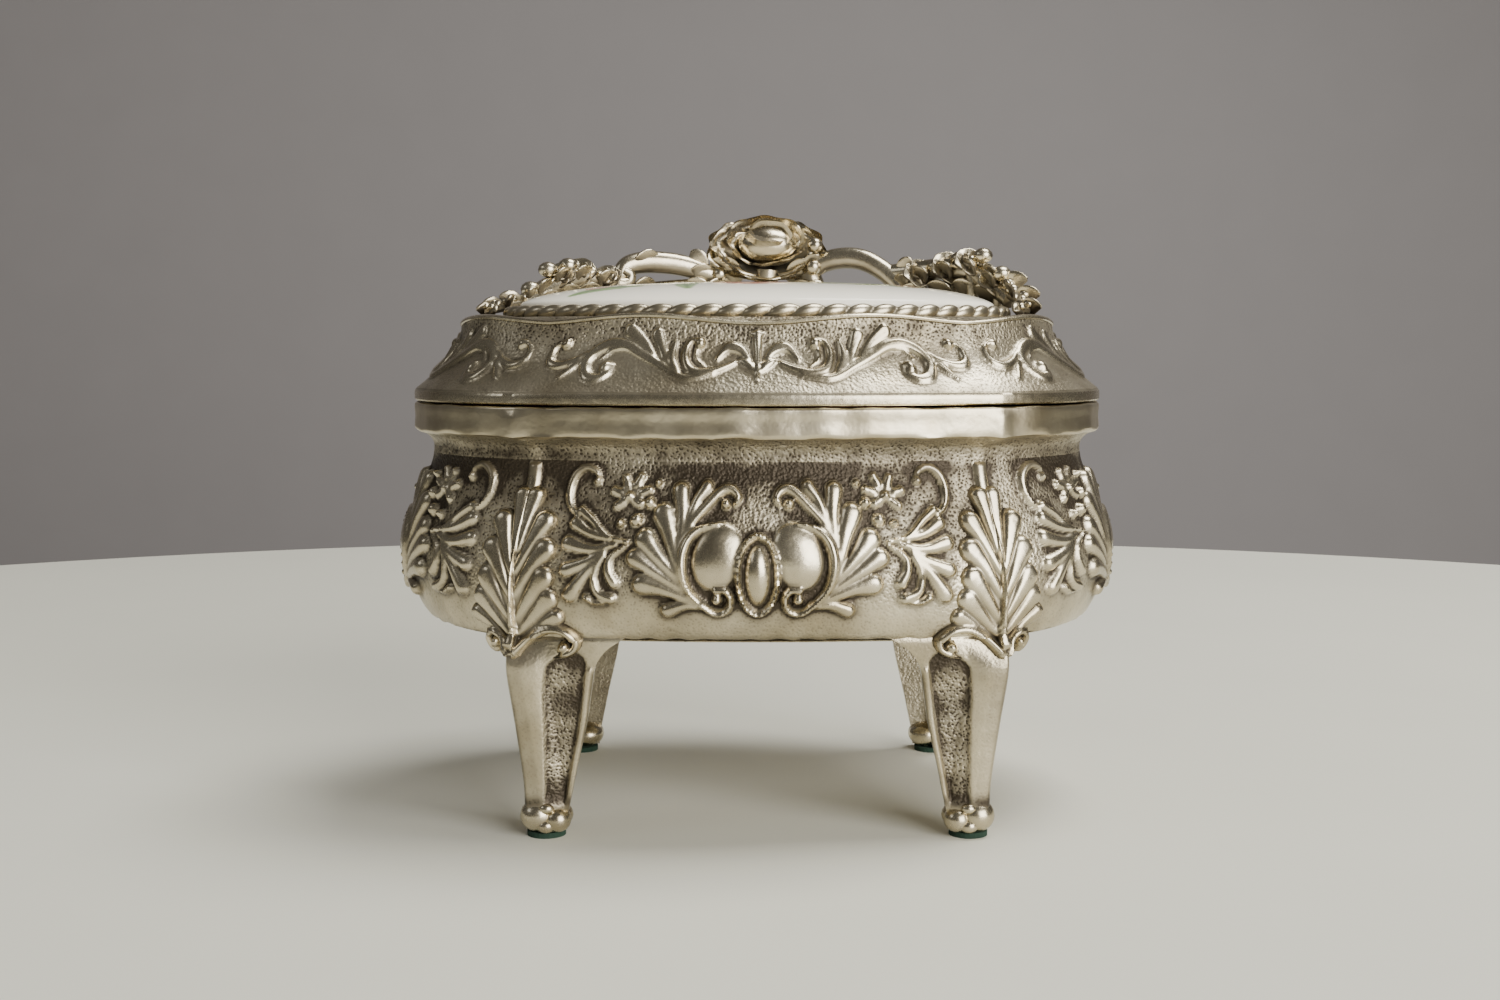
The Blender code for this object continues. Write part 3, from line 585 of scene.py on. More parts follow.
@dataclass(frozen=True)
class Silver:
    """Old silver plate: worn bright on what stands out, brown oxide in what is sunk and painted shade in the
    same colour, matted on the ground.

    Attributes:
        name: The material's name.
        bright: Colour where it is rubbed.
        dull: Colour of the ordinary tarnished plate.
        oxide_and_shade: Colour of the oxide in the recesses, also used for painted shade.
        tarnish: Colour of the yellowed patches.
        gloss: Roughness where it is rubbed.
        oxide_and_shade_share: How readily the oxide and the painted shade show.
        stipple: Depth of the matting on the ground, in millimetres.
    """

    name: str
    bright: Colour = (0.74, 0.665, 0.495)
    dull: Colour = (0.42, 0.36, 0.24)
    oxide_and_shade: Colour = (0.050, 0.038, 0.024)
    tarnish: Colour = (0.40, 0.325, 0.20)
    gloss: float = 0.21
    oxide_and_shade_share: float = 1.0
    stipple: float = 0.07

    def material(self) -> bpy.types.Material:
        """Builds the material."""
        g = Graph(self.name)
        tarnish_and_shade, ground = g.attribute("tarnish_and_shade"), g.attribute("ground")
        cloud, grain = g.noise(11.0, 3.0), g.noise(0.5, 3.0, 0.7)
        patch, pit = g.noise(4.0, 3.0, 0.5), g.pits(0.42)
        dots = g.times(g.over(0.38, pit), g.times(ground, 3.0))
        stain = g.times(g.times(g.over(patch, 0.42), 1.7), g.plus(g.times(ground, 0.7), 0.2))
        # The darkening attribute brings the oxide in the hollows together with the painted shade; dots and
        # stains are tarnish on the ground.
        sunk = g.plus(g.plus(g.times(tarnish_and_shade, 1.05), dots), stain)
        oxide_and_shade = g.times(g.times(sunk, g.plus(cloud, 0.5)), self.oxide_and_shade_share, True)
        worn = g.times(g.over(cloud, 0.3), 2.2, True)
        plate = g.mix(worn, (*self.bright, 1), (*self.dull, 1))
        warm = g.mix(g.over(g.noise(5.0, 3.0), 0.42), plate, (*self.tarnish, 1))
        rough = g.plus(g.plus(self.gloss, g.times(grain, 0.10)), g.times(ground, 0.10))
        rough = g.plus(rough, g.times(oxide_and_shade, 0.12), True)
        matting = g.times(g.plus(pit, g.times(grain, 0.5)), ground)
        below = g.bump(grain, 0.02, 0.5, g.bump(matting, self.stipple * 3, 0.9))
        g.set(Base_Color=g.mix(oxide_and_shade, warm, (*self.oxide_and_shade, 1)), Roughness=rough)
        g.set(Metallic=g.math("SUBTRACT", 1.0, g.times(oxide_and_shade, 0.35)))
        g.set(Normal=g.bump(g.noise(2.2, 2.0), 0.09, 0.8, below))
        return g.material


@dataclass(frozen=True)
class Porcelain:
    """White glaze over painted colours.

    Attributes:
        name: The material's name.
    """

    name: str = "glazed_porcelain"

    def material(self) -> bpy.types.Material:
        """Builds the material: the paint attribute under a clear coat, with faint glaze waves."""
        g = Graph(self.name)
        paint = g.node("ShaderNodeAttribute", attribute_name="paint").outputs["Color"]
        shade = g.mix(g.times(g.noise(14.0, 2.0), 0.18), (1, 0.995, 0.97, 1), (0.95, 0.94, 0.89, 1))
        colour = g.node("ShaderNodeMix", data_type="RGBA", blend_type="MULTIPLY")
        for index, value in ((0, 1.0), (6, paint), (7, shade)):
            g.put(colour.inputs[index], value)
        g.set(Base_Color=colour.outputs[2], Roughness=g.plus(0.07, g.times(g.noise(2.0, 2.0), 0.05)))
        g.set(Normal=g.bump(g.noise(6.0, 1.5), 0.05, 0.35))
        g.set(Coat_Weight=0.1, Coat_Roughness=0.05, Specular_IOR_Level=0.18)
        return g.material


@dataclass(frozen=True)
class Pile:
    """A napped cloth, such as velvet or felt.

    Attributes:
        name: The material's name.
        deep: Colour down in the pile.
        lit: Colour of the brushed tips.
        sheen: Strength of the pile's edge light.
        nap: Size of the tufts, in millimetres.
    """

    name: str
    deep: Colour
    lit: Colour
    sheen: float
    nap: float

    def material(self) -> bpy.types.Material:
        """Builds the material."""
        g = Graph(self.name)
        brushed = g.times(g.over(g.noise(7.0, 3.0), 0.35), 1.8)
        tufts = g.noise(self.nap, 4.0, 0.7)
        share = g.plus(g.times(brushed, 0.55), g.times(tufts, 0.45), True)
        g.set(Base_Color=g.mix(share, (*self.deep, 1), (*self.lit, 1)))
        g.set(Normal=g.bump(tufts, 0.12, 0.8, g.bump(g.noise(3.0, 2.0), 0.15, 0.4)))
        g.set(Roughness=g.plus(0.82, g.times(tufts, 0.15)))
        g.set(Sheen_Weight=self.sheen, Sheen_Roughness=0.35, Sheen_Tint=(*self.lit, 1))
        return g.material


@dataclass(frozen=True)
class Finishes:
    """One material for each finish on the box."""

    casting: bpy.types.Material
    rubbed: bpy.types.Material
    steel: bpy.types.Material
    porcelain: bpy.types.Material
    velvet: bpy.types.Material
    felt: bpy.types.Material


def make_finishes() -> Finishes:
    """Builds every finish once."""
    return Finishes(
        casting=Silver("aged_silver_casting").material(),
        rubbed=Silver("rubbed_silver", gloss=0.26, oxide_and_shade_share=0.8).material(),
        steel=Silver(
            "worn_steel", (0.60, 0.59, 0.56), (0.42, 0.41, 0.39), (0.10, 0.07, 0.05),
            gloss=0.3, oxide_and_shade_share=0.5,
        ).material(),
        porcelain=Porcelain().material(),
        velvet=Pile("wine_velvet", (0.10, 0.006, 0.014), (0.36, 0.04, 0.07), 0.6, 0.35).material(),
        # Painted shade: the felt is coloured much darker than green felt, standing for the shade under the
        # feet.
        felt=Pile("green_felt", (0.006, 0.022, 0.013), (0.022, 0.065, 0.038), 0.3, 0.5).material(),
    )


def finish_piece(
    name: str,
    mesh: bpy.types.Mesh,
    material: bpy.types.Material,
    body: Body,
    replaces: Sequence[str] = (),
    smooth_angle: float = 40.0,
) -> bpy.types.Object:
    """Puts a mesh in the scene as a named piece of the box.

    Args:
        name: The piece's name.
        mesh: Its mesh, already in place.
        material: Its finish.
        body: What it rides on.
        replaces: The CAD nodes that it stands for.
        smooth_angle: Edges sharper than this, in degrees, stay crisp.

    Returns:
        The new object.
    """
    piece = placed(name, mesh)
    mesh.materials.clear()
    mesh.materials.append(material)
    mesh.shade_smooth()
    mesh.set_sharp_from_angle(angle=math.radians(smooth_angle))
    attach(piece, body.value)
    if replaces:
        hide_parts(*replaces)
    LOG.info("%s: %d faces on %s", name, len(mesh.polygons), body.value)
    return piece


# ---------------------------------------------------------------- casket


@dataclass
class Casket:
    """The bombe wall of the box, sized from its CAD solids.

    Attributes:
        finishes: The finishes to dress it in.
        outline: How its plan is cut into columns.
        corner: Where the plan's corners are, in millimetres.
        wall: Thickness of the casting.
        parting: Height of the line between belly and neck.
        shoulder: Height of the line between neck and rim band.
    """

    finishes: Finishes
    outline: Outline = field(default_factory=Outline)
    corner: tuple[float, float] = (35.3, 31.0)
    wall: float = 1.7
    parting: float = 56.1
    shoulder: float = 59.5

    def __post_init__(self) -> None:
        """Reads the heights and the rim's size from the frame."""
        low, high = box_mm("body_shell")
        _, lid_high = box_mm("lid_shell")
        self.base, self.rim = low.z, high.z
        self.half_width, self.half_depth = lid_high.x, lid_high.y

    def swell(self, z: np.ndarray) -> np.ndarray:
        """How far the panels stand out from the rim's outline at each height."""
        belly = profile_at(
            z,
            ((30.5, -2.1), (31.2, -1.3), (33.0, -0.2), (35.0, 0.6), (37.3, 1.1), (40.0, 1.35), (42.0, 1.3),
             (44.0, 1.0), (46.2, 0.45), (49.0, -0.5), (51.5, -1.4), (53.5, -2.2), (55.0, -2.7), (56.4, -2.9)),
        )
        cove = profile_at(z, ((56.0, -2.9), (57.3, -2.9), (58.3, -2.4), (59.1, -1.4), (59.5, -0.25)))
        band = profile_at(z, ((59.5, -0.25), (60.1, 0.0), (61.8, -0.12), (63.4, -0.02), (63.9, -0.3)))
        return np.where(z < self.parting, belly, np.where(z < self.shoulder, cove, band))

    def corner_inset(self, z: np.ndarray) -> np.ndarray:
        """How far the corners draw in behind the rim's, from the knee up to the neck."""
        return profile_at(
            z,
            ((30.0, 0.0), (36.0, -0.2), (40.0, 0.0), (44.0, 0.7), (48.0, 1.6), (52.0, 2.5), (55.0, 2.9),
             (57.5, 2.9), (58.6, 2.1), (59.5, 0.25), (60.1, 0.0), (63.4, 0.0), (63.9, 0.3)),
        )

    def wall_grid(self, z: np.ndarray, inset: np.ndarray) -> tuple[np.ndarray, np.ndarray, np.ndarray]:
        """X, Y and Z grids of the wall at rows of heights, moved in by inset."""
        out = self.swell(z) - inset
        back = self.corner_inset(z) + inset
        x, y = self.outline.place(
            (self.corner[0] - back)[:, None],
            (self.corner[1] - back)[:, None],
            (self.half_width + out)[:, None],
            (self.half_depth + out)[:, None],
        )
        return x, y, np.broadcast_to(z[:, None], x.shape)

    def corner_surface(self, offset: np.ndarray, z: np.ndarray) -> np.ndarray:
        """Points of the wall beside the front right corner.

        Args:
            offset: Distance round from the corner; negative is along the front, positive along the end.
            z: Heights, one row each.

        Returns:
            A grid of XYZ.
        """
        held = np.clip(z, self.base, None)
        out, back = self.swell(held), self.corner_inset(held)
        near_x, near_y = self.corner[0] - back, self.corner[1] - back
        front_bow, end_bow = self.half_depth + out - near_y, self.half_width + out - near_x
        front_radius = (near_x**2 + front_bow**2) / (2 * front_bow)
        end_radius = (near_y**2 + end_bow**2) / (2 * end_bow)
        front_turn = np.arcsin(near_x / front_radius) + np.minimum(offset, 0) / front_radius
        end_turn = -np.arcsin(near_y / end_radius) + np.maximum(offset, 0) / end_radius
        x = np.where(
            offset < 0,
            front_radius * np.sin(front_turn),
            near_x + end_radius * np.cos(end_turn) - end_radius + end_bow,
        )
        y = np.where(
            offset < 0,
            -(near_y + front_radius * np.cos(front_turn) - front_radius + front_bow),
            end_radius * np.sin(end_turn),
        )
        return np.stack([x, y, np.broadcast_to(z, x.shape)], -1)

    def from_corner(self) -> np.ndarray:
        """How far each column lies from the nearest corner, in millimetres along the front."""
        return (1 - np.abs(np.concatenate(self.outline.shares()))) * self.corner[0]

    def corner_rib(self, height: np.ndarray, z: np.ndarray) -> np.ndarray:
        """Adds the narrow arris at the four corners to a relief."""
        rib = 0.85 * np.sqrt(np.clip(1 - (self.from_corner() / 1.1) ** 2, 0, 1))
        up = z[:, None]
        return np.maximum(height, rib[None, :] * eased((up - 44.0) / 6) * eased((57.0 - up) / 2))

    def shell(
        self,
        name: str,
        material: bpy.types.Material,
        face: tuple[np.ndarray, np.ndarray, np.ndarray],
        inner_z: np.ndarray,
        inset: np.ndarray,
    ) -> None:
        """One band of the wall as a closed piece with an inner face.

        Args:
            name: The piece's name.
            material: Its finish.
            face: The outer face's points, and its tarnish-and-shade and ground grids.
            inner_z: The heights of the inner face's rows, from the top down.
            inset: How far each of those rows stands in from the bare wall.
        """
        inner = np.stack(self.wall_grid(inner_z, inset), -1)
        plain = np.zeros(inner.shape[:2])
        place, tarnish_and_shade, ground = (np.concatenate(pair) for pair in zip(face, (inner, plain, plain)))
        mesh = Sheet(place, tarnish_and_shade, ground).mesh(name, wrap_rows=True, wrap_columns=True)
        finish_piece(name, mesh, material, Body.BOX, ["body_shell"])

    def build_belly(self) -> None:
        """The ornamented belly, a closed band with an inner face."""
        z = np.linspace(self.base, self.parting, 93)
        x, y, zz = self.wall_grid(z, np.zeros_like(z))
        height = self.outline.decorated(z[:, None], self.corner[0], casket_motif)
        height = self.corner_rib(height, z)
        height *= eased((z[:, None] - self.base) / 0.8) * eased((self.parting + 0.3 - z[:, None]) / 1.2)
        tarnish_and_shade, ground = patina(height, 0.28)
        around = full_turn(x.shape[1])
        uneven = 0.6 + 0.4 * np.sin(around * 9 + 1.3) * np.sin(around * 4)
        # Painted shade: an uneven dark line in the crease under the neck.
        tarnish_and_shade = np.clip(tarnish_and_shade + 0.8 * uneven * bell(z, 54.9, 1.1)[:, None], 0, 1)
        tarnish_and_shade = np.clip(tarnish_and_shade + (0.16 + 0.42 * uneven) * eased((z - 42) / 11)[:, None] * ground, 0, 1)
        ground = ground * (0.3 + 0.7 * eased((z - 34) / 9))[:, None]
        ripple = 0.1 * np.sin(around * 61) * np.sin(around * 7 + 1)
        zz = zz + ripple[None, :] * (1 - eased((z[:, None] - self.base) / 1.6))
        bulge = np.stack([x, y, zz], -1) + outward(x, y, zz) * height[..., None]
        inner_z = np.array([self.parting, 50.0, 44.0, 40.0, 36.0, 33.0, self.base])
        bare = np.full_like(inner_z, self.wall)
        self.shell("casket_belly", self.finishes.casting, (bulge, tarnish_and_shade, ground), inner_z, bare)

    def build_rim(self) -> None:
        """The coved neck and the polished rim band."""
        z = np.concatenate([
            np.linspace(self.parting, 59.45, 16), np.linspace(59.5, 60.2, 5), np.linspace(60.7, 63.3, 6),
            np.linspace(63.5, self.rim, 4),
        ])
        x, y, zz = self.wall_grid(z, np.zeros_like(z))
        crease = 0.34 * bell(self.from_corner(), 0, 1.5)[None, :]
        rib = self.corner_rib(crease * eased((63.4 - z[:, None]) / 0.8), z)
        around = full_turn(x.shape[1])
        beaten = 0.05 * np.sin(around * 23 + 2) + 0.05 * np.sin(around * 41) + 0.04 * np.sin(around * 13 + 4)
        zz = zz + (beaten * 0.9)[None, :] * bell(z, 59.7, 0.8)[:, None]
        rib = rib + beaten[None, :] * eased((z[:, None] - 59.4) / 0.8)
        outer = np.stack([x, y, zz], -1) + outward(x, y, zz) * rib[..., None]
        # Painted shade in the crease at the foot of the neck cove, with a darker tone over the whole cove;
        # both are lighter on the ribs.
        under = 0.35 * bell(z, 57.0, 1.0) + 0.34 * (z < 59.3)
        tarnish_and_shade = under[:, None] * (1 - 0.8 * eased((rib - 0.1) / 0.4))
        ground = np.broadcast_to((0.9 * (z < 59.4))[:, None], x.shape)
        inner_z = np.array([self.rim, 61.0, 59.0, 57.5, self.parting])
        inner = np.array([0.55, self.wall, self.wall, self.wall, self.wall])
        self.shell("casket_rim", self.finishes.rubbed, (outer, tarnish_and_shade, ground), inner_z, inner)

    def build_base(self) -> None:
        """The floor plate: a shallow pan let in under the wall, with its edge chamfered up out of sight."""
        low, high = box_mm("base_plate")
        inset = np.array([12.0, 1.4, 1.2, 1.3, 9.0, 9.6, 12.0])[:, None]
        z = np.array([high.z, high.z, high.z - 0.15, high.z - 0.3, low.z + 0.12, low.z, low.z])
        edge = self.swell(np.full_like(z, self.base))[:, None] - inset
        x, y = self.outline.place(
            self.corner[0] - inset, self.corner[1] - inset, self.half_width + edge, self.half_depth + edge
        )
        place = np.stack([x, y, np.broadcast_to(z[:, None], x.shape)], -1)[:, ::4]
        place[[0, -1]] *= (0.05, 0.05, 1)
        plain = np.full(place.shape[:2], 0.15)
        mesh = Sheet(place, plain, plain + 0.4).tube("floor_plate")
        finish_piece("floor_plate", mesh, self.finishes.casting, Body.BOX, ["base_plate"])

    def build(self) -> None:
        """Builds every part of the casket's wall and floor."""
        self.build_belly()
        self.build_rim()
        self.build_base()


# ---------------------------------------------------------------- loose shapes


def joined(name: str, parts: Sequence[bpy.types.Mesh]) -> bpy.types.Mesh:
    """One mesh from several, keeping each part's tarnish-and-shade and ground values."""
    work = bmesh.new()
    kept: dict[str, list[np.ndarray]] = {"tarnish_and_shade": [], "ground": []}
    for part in parts:
        for key, layers in kept.items():
            values = np.zeros(len(part.vertices), np.float32)
            if key in part.attributes:
                part.attributes[key].data.foreach_get("value", values)
                part.attributes.remove(part.attributes[key])
            layers.append(values)
        work.from_mesh(part)
        bpy.data.meshes.remove(part)
    mesh = made_mesh(name, work)
    for key, layers in kept.items():
        layer = mesh.attributes.new(key, "FLOAT", "POINT")
        layer.data.foreach_set("value", np.concatenate(layers))
    return mesh


def bead(centre: Sequence[float], radii: Sequence[float], detail: int = 2) -> bpy.types.Mesh:
    """A small rounded boss at a place in millimetres."""
    work = bmesh.new()
    place = Matrix.Translation(Vector(centre) * MM) @ Matrix.Diagonal((*(r * MM for r in radii), 1))
    bmesh.ops.create_icosphere(work, subdivisions=detail, radius=1.0, matrix=place)
    return made_mesh("bead", work)


def underside(place: np.ndarray, normal: np.ndarray, low: float, reach: float) -> np.ndarray:
    """How much painted shade a loose shape gets: most below, on faces that look down, and down towards low.
    """
    down = np.clip(0.25 - normal[..., 2], 0, 1) * 0.75
    deep = np.clip(1 - (place[..., 2] - low) / reach, 0, 1) * 0.5
    return np.clip(down + deep, 0, 0.9)


def rod(
    points: Sequence[Sequence[float]], radii: Sequence[float], low: float, tall: float = 1.0
) -> bpy.types.Mesh:
    """A round bar of changing thickness along a smooth path, closed at both ends.

    Args:
        points: Where it runs, in millimetres.
        radii: Its radius at each point.
        low: The height where the painted shade is deepest.
        tall: How much broader it is upwards than across.

    Returns:
        The mesh.
    """
    path = curve_through([(*point, radius) for point, radius in zip(points, radii)], 8)
    line, girth = path[:, :3], np.maximum(path[:, 3], 0.05)
    ahead = unit(np.gradient(line, axis=0))
    across = np.cross(ahead[0], (0.31, 0.2, 1.0))
    frames = []
    for direction in ahead:
        across = unit(across - direction * (across @ direction))
        frames.append((across, np.cross(direction, across)))
    turn = np.linspace(0, 2 * math.pi, 16, endpoint=False)
    first, second = (np.array([frame[i] for frame in frames])[:, None, :] for i in (0, 1))
    normal = first * np.cos(turn)[None, :, None] + second * np.sin(turn)[None, :, None]
    place = line[:, None, :] + normal * (girth[:, None, None] * (1, 1, tall))
    caps = [line[end, None, :] + normal[end] * 0.03 for end in (slice(0, 1), slice(-1, None))]
    place = np.concatenate([caps[0], place, caps[1]])
    normal = np.concatenate([normal[:1], normal, normal[-1:]])
    # Painted shade on the downward faces and low parts.
    tarnish_and_shade = underside(place, normal, low, 5.0)
    return Sheet(place, tarnish_and_shade, np.zeros_like(tarnish_and_shade)).tube("rod")


def blade(
    root: np.ndarray,
    middle: np.ndarray,
    tip: np.ndarray,
    side: np.ndarray,
    width: float,
    cup: float,
    thick: float,
    groove: float,
    low: float,
) -> bpy.types.Mesh:
    """A leaf or petal: a thin closed shell along a bent line, cupped across.

    Args:
        root: Where it grows from, in millimetres.
        middle: The point that its line bends towards.
        tip: Its far end.
        side: The direction across it.
        width: Half its greatest breadth.
        cup: How far its edges bend towards its face, as a share of the width.
        thick: Half its thickness.
        groove: Depth of the channel along its middle.
        low: The height where the painted shade is deepest.

    Returns:
        The mesh.
    """
    u = np.linspace(0, 1, 15)[:, None]
    line = root * (1 - u) ** 2 + middle * 2 * u * (1 - u) + tip * u**2
    ahead = unit(np.gradient(line, axis=0))
    across = unit(side - ahead * (ahead @ side)[:, None])
    face = np.cross(across, ahead)
    breadth = width * np.sin(math.pi * (0.06 + 0.9 * u**0.75)) ** 0.75
    turn = np.linspace(0, 2 * math.pi, 22, endpoint=False)[None, :]
    c, s = np.cos(turn), np.sin(turn)
    lift = thick * s * (0.35 + 0.65 * np.sin(math.pi * u)) + cup * breadth * c**2
    lift = lift - groove * bell(c, 0, 0.3) * (s > 0)
    offsets = across[:, None, :] * (breadth * c)[..., None] + face[:, None, :] * lift[..., None]
    place = line[:, None, :] + offsets
    normal = face[:, None, :] * s[..., None] + across[:, None, :] * c[..., None]
    # Painted shade on the downward faces and low parts.
    tarnish_and_shade = underside(place, normal, low, 5.0)
    tarnish_and_shade = np.maximum(tarnish_and_shade, 0.65 * bell(u, 0, 0.22) * np.ones_like(c))
    channel = 0.7 * bell(c, 0, 0.25) * (s > 0) * np.sin(math.pi * u)
    tarnish_and_shade = np.maximum(tarnish_and_shade, (groove > 0) * channel)
    return Sheet(place, tarnish_and_shade, np.zeros_like(tarnish_and_shade)).tube("blade")


def petal(
    heart: np.ndarray,
    axes: np.ndarray,
    azimuth: float,
    spread: float,
    size: tuple[float, float, float],
    roll: float,
) -> bpy.types.Mesh:
    """A rose petal: a shell wrapped part of the way round the flower's axis, with its lip rolled out.

    Args:
        heart: The flower's middle, in millimetres.
        axes: The flower's right, up and forward directions, each as long as the flower is stretched that way.
        azimuth: Which way the petal's middle lies, in degrees from the right.
        spread: Half the angle that it covers.
        size: Its reach from the axis, how far behind the heart it starts, and how far forward its lip comes.
        roll: How far its lip turns outwards.

    Returns:
        The mesh.
    """
    reach, depth, rise = size
    u, v = np.linspace(0, 1, 18)[:, None], np.linspace(-1, 1, 25)[None, :]
    turn = np.radians(azimuth + v * spread * (0.62 + 0.38 * np.sin(math.pi * (0.12 + 0.62 * u))))
    lip = eased((u - 0.7) / 0.3)
    away = reach * (0.22 + 0.78 * np.sin(math.pi / 2 * np.clip(u * 1.1, 0, 1))) + roll * lip
    away = away * (1 + 0.035 * np.cos(3 * math.pi * v) * u)
    ahead = -depth + (depth + rise) * u**1.15 - 0.75 * roll * lip**2 - 0.3 * reach * u**2 * v**4
    faces = []
    for thick in (0.42, -0.36):
        out = away + thick * (1 - 0.3 * u)
        along = (out * np.cos(turn), out * np.sin(turn), ahead + thick * lip * 1.2)
        faces.append(heart + sum(length[..., None] * axis for length, axis in zip(along, axes)))
    place = np.concatenate([faces[0], faces[1][:, ::-1]], 1)
    deep = np.clip(0.85 - 1.1 * u, 0, 1) + 0.3 * v**6
    tarnish_and_shade = np.concatenate([deep, deep + 0.2 * (1 - u)], 1)
    return Sheet(place, np.clip(tarnish_and_shade, 0, 0.9), np.zeros_like(tarnish_and_shade)).tube("petal")


def rosette(
    centre: Sequence[float],
    facing: Sequence[float],
    radius: float,
    rings: Sequence[tuple[int, float, float, float, float]],
    core: float,
) -> list[bpy.types.Mesh]:
    """A flower of petals in rings round a bead.

    Args:
        centre: Its middle, in millimetres.
        facing: The way it looks.
        radius: Reach of its widest petals.
        rings: For each ring: petals, reach, height of the tips, breadth and turn in degrees, the lengths
            as shares of the radius.
        core: Radius of the bead, as a share of the radius.

    Returns:
        The meshes of its petals and bead.
    """
    heart = np.array(centre, float)
    ahead = unit(np.array(facing, float))
    first = unit(np.cross(ahead, (0, 0, 1)))
    second = np.cross(first, ahead)
    parts = []
    for count, reach, rise, breadth, start in rings:
        for number in range(count):
            turn = 2 * math.pi * number / count + math.radians(start)
            out = first * math.cos(turn) + second * math.sin(turn)
            side = -first * math.sin(turn) + second * math.cos(turn)
            root = heart + out * radius * 0.1 * reach
            middle = heart + out * radius * reach * 0.85 + ahead * radius * (rise * 0.1 - 0.05)
            tip = heart + out * radius * reach + ahead * radius * rise
            low = heart[2] - radius
            parts.append(blade(root, middle, tip, side, radius * breadth, 0.35, radius * 0.14, 0.0, low))
    parts.append(bead(heart + ahead * radius * 0.2, (radius * core,) * 3))
    return parts


# ---------------------------------------------------------------- corner leaves and legs


@dataclass
class Corners:
    """The four cabriole legs and the acanthus leaves that cover the casket's corners.

    Attributes:
        finishes: The finishes to dress them in.
        casket: The casket whose corners they follow.
        wall: Thickness of a leg's two arms.
        border: Share of an arm's breadth at which the sunk panel ends.
        rows: Rows of a leg's mesh.
        back_columns: Columns on a leg's hollow side.
    """

    finishes: Finishes
    casket: Casket
    wall: float = 2.2
    border: float = 0.92
    rows: int = 96
    back_columns: int = 26

    def edge(self, z: np.ndarray) -> tuple[np.ndarray, np.ndarray]:
        """Where a leg's outer edge stands at each height, along X and Y."""
        heights = (0.0, 5.0, 9.0, 17.0, 22.0, 27.0, 33.0)
        x = profile_at(z, list(zip(heights, (33.9, 33.9, 34.1, 35.1, 35.8, 36.5, 36.4))))
        y = profile_at(z, list(zip(heights, (29.9, 29.9, 30.1, 30.9, 31.5, 32.3, 32.3))))
        return x, y

    def reach(self, z: np.ndarray) -> np.ndarray:
        """Breadth of a leg's arms at each height."""
        return profile_at(z, (
            (0.0, 5.6), (3.0, 5.7), (9.0, 7.1), (17.0, 9.9),
            (22.0, 11.4), (27.0, 13.1), (29.0, 14.3), (31.0, 17.0),
        ))

    def skin(self, offset: np.ndarray, z: np.ndarray, straight: bool) -> np.ndarray:
        """The bare surface beside the front right corner, from the wall down to the foot.

        Args:
            offset: Distance round from the corner; negative is along the front.
            z: Heights of the same shape.
            straight: Whether the end side follows the leg's own arm and not the casket's wall.

        Returns:
            A grid of XYZ.
        """
        x, y = self.edge(z)
        leg = np.stack([x + np.minimum(offset, 0), -y + np.maximum(offset, 0), z], -1)
        wall = self.casket.corner_surface(offset, z)
        share = eased((31.0 - z) / 5.5)
        if straight:
            share = 1 - (1 - share) * eased((1.5 - offset) / 3)
        return wall * (1 - share)[..., None] + leg * share[..., None]

    def leg(self, side_x: float, side_y: float) -> bpy.types.Mesh:
        """One leg: an angle of two arms with sunk stippled panels, and a scrolled toe."""
        rows = np.linspace(0, 1, self.rows)[:, None]
        around = np.linspace(-1, 1, 132)[None, :]
        foot = 1.0
        top = 30.4 + 1.2 * eased((-around * 16 - 1) / 3)
        z = foot + (top - foot) * rows
        breadth = self.reach(z[:, :1])
        offset = around * breadth
        place = self.skin(offset, z, True)
        place = 0.25 * np.roll(place, 1, 1) + 0.5 * place + 0.25 * np.roll(place, -1, 1)
        place[:, 0], place[:, -1] = self.skin(offset[:, :1], z[:, :1], True)[:, 0], place[:, -2]
        away = np.abs(offset)
        inner = self.border * breadth
        band = 0.37 * breadth + 0.6 * eased((z - 21) / 6)
        middle, half = (inner + band) / 2, np.maximum((inner - band) / 2, 0.5)
        arch = 28.8 - 2.4 * np.clip(np.abs(away - middle) / half, 0, 1) ** 2
        panel = eased((arch - z) / 1.1) * eased((z - 4.5) / 2)
        height = 0.75 * np.clip(1 - ((away - 2.2) / 3.2) ** 2, 0, 1) * eased((31.0 - z) / 9)
        sunk = eased((away - band + 0.15) / 0.8) * eased((inner - away) / 0.7)
        height = height - 0.65 * sunk * panel
        height += 0.35 * bell(away, inner + 0.3, 0.45) * panel
        height -= 0.9 * eased((away - inner - 0.6) / (breadth - inner)) * eased((27 - z) / 4)
        height -= 0.3 * eased((z - 30.0) / 0.8) + 1.3 * eased((4.8 - z) / 3.2)
        normal = np.where((offset < 0)[..., None], (0.0, -1.0, 0.0), (1.0, 0.0, 0.0))
        corner = eased((offset + 1.5) / 3)[..., None]
        blend = np.array((0.0, -1.0, 0.0)) * (1 - corner) + np.array((1.0, 0.0, 0.0)) * corner
        normal = unit(np.where((away < 1.6)[..., None], blend, normal))
        face = place + normal * height[..., None]
        back = np.linspace(1, -1, self.back_columns)[None, :] * breadth
        back = np.sign(back) * np.maximum(np.abs(back), self.wall)
        back_z = np.repeat(z[:, :1], self.back_columns, 1)
        inside = self.skin(back, back_z, True)
        x, _ = self.edge(back_z)
        inside[..., 1] = np.where(back < 0, inside[..., 1] + self.wall, inside[..., 1])
        inside[..., 0] = np.where(back > 0, x - self.wall, inside[..., 0])
        tarnish_and_shade, _ = patina(height, 0.25, wrap=False)
        tarnish_and_shade = np.clip(0.8 * tarnish_and_shade + (0.34 + 0.16 * np.sin(z)) * sunk * panel, 0, 1)
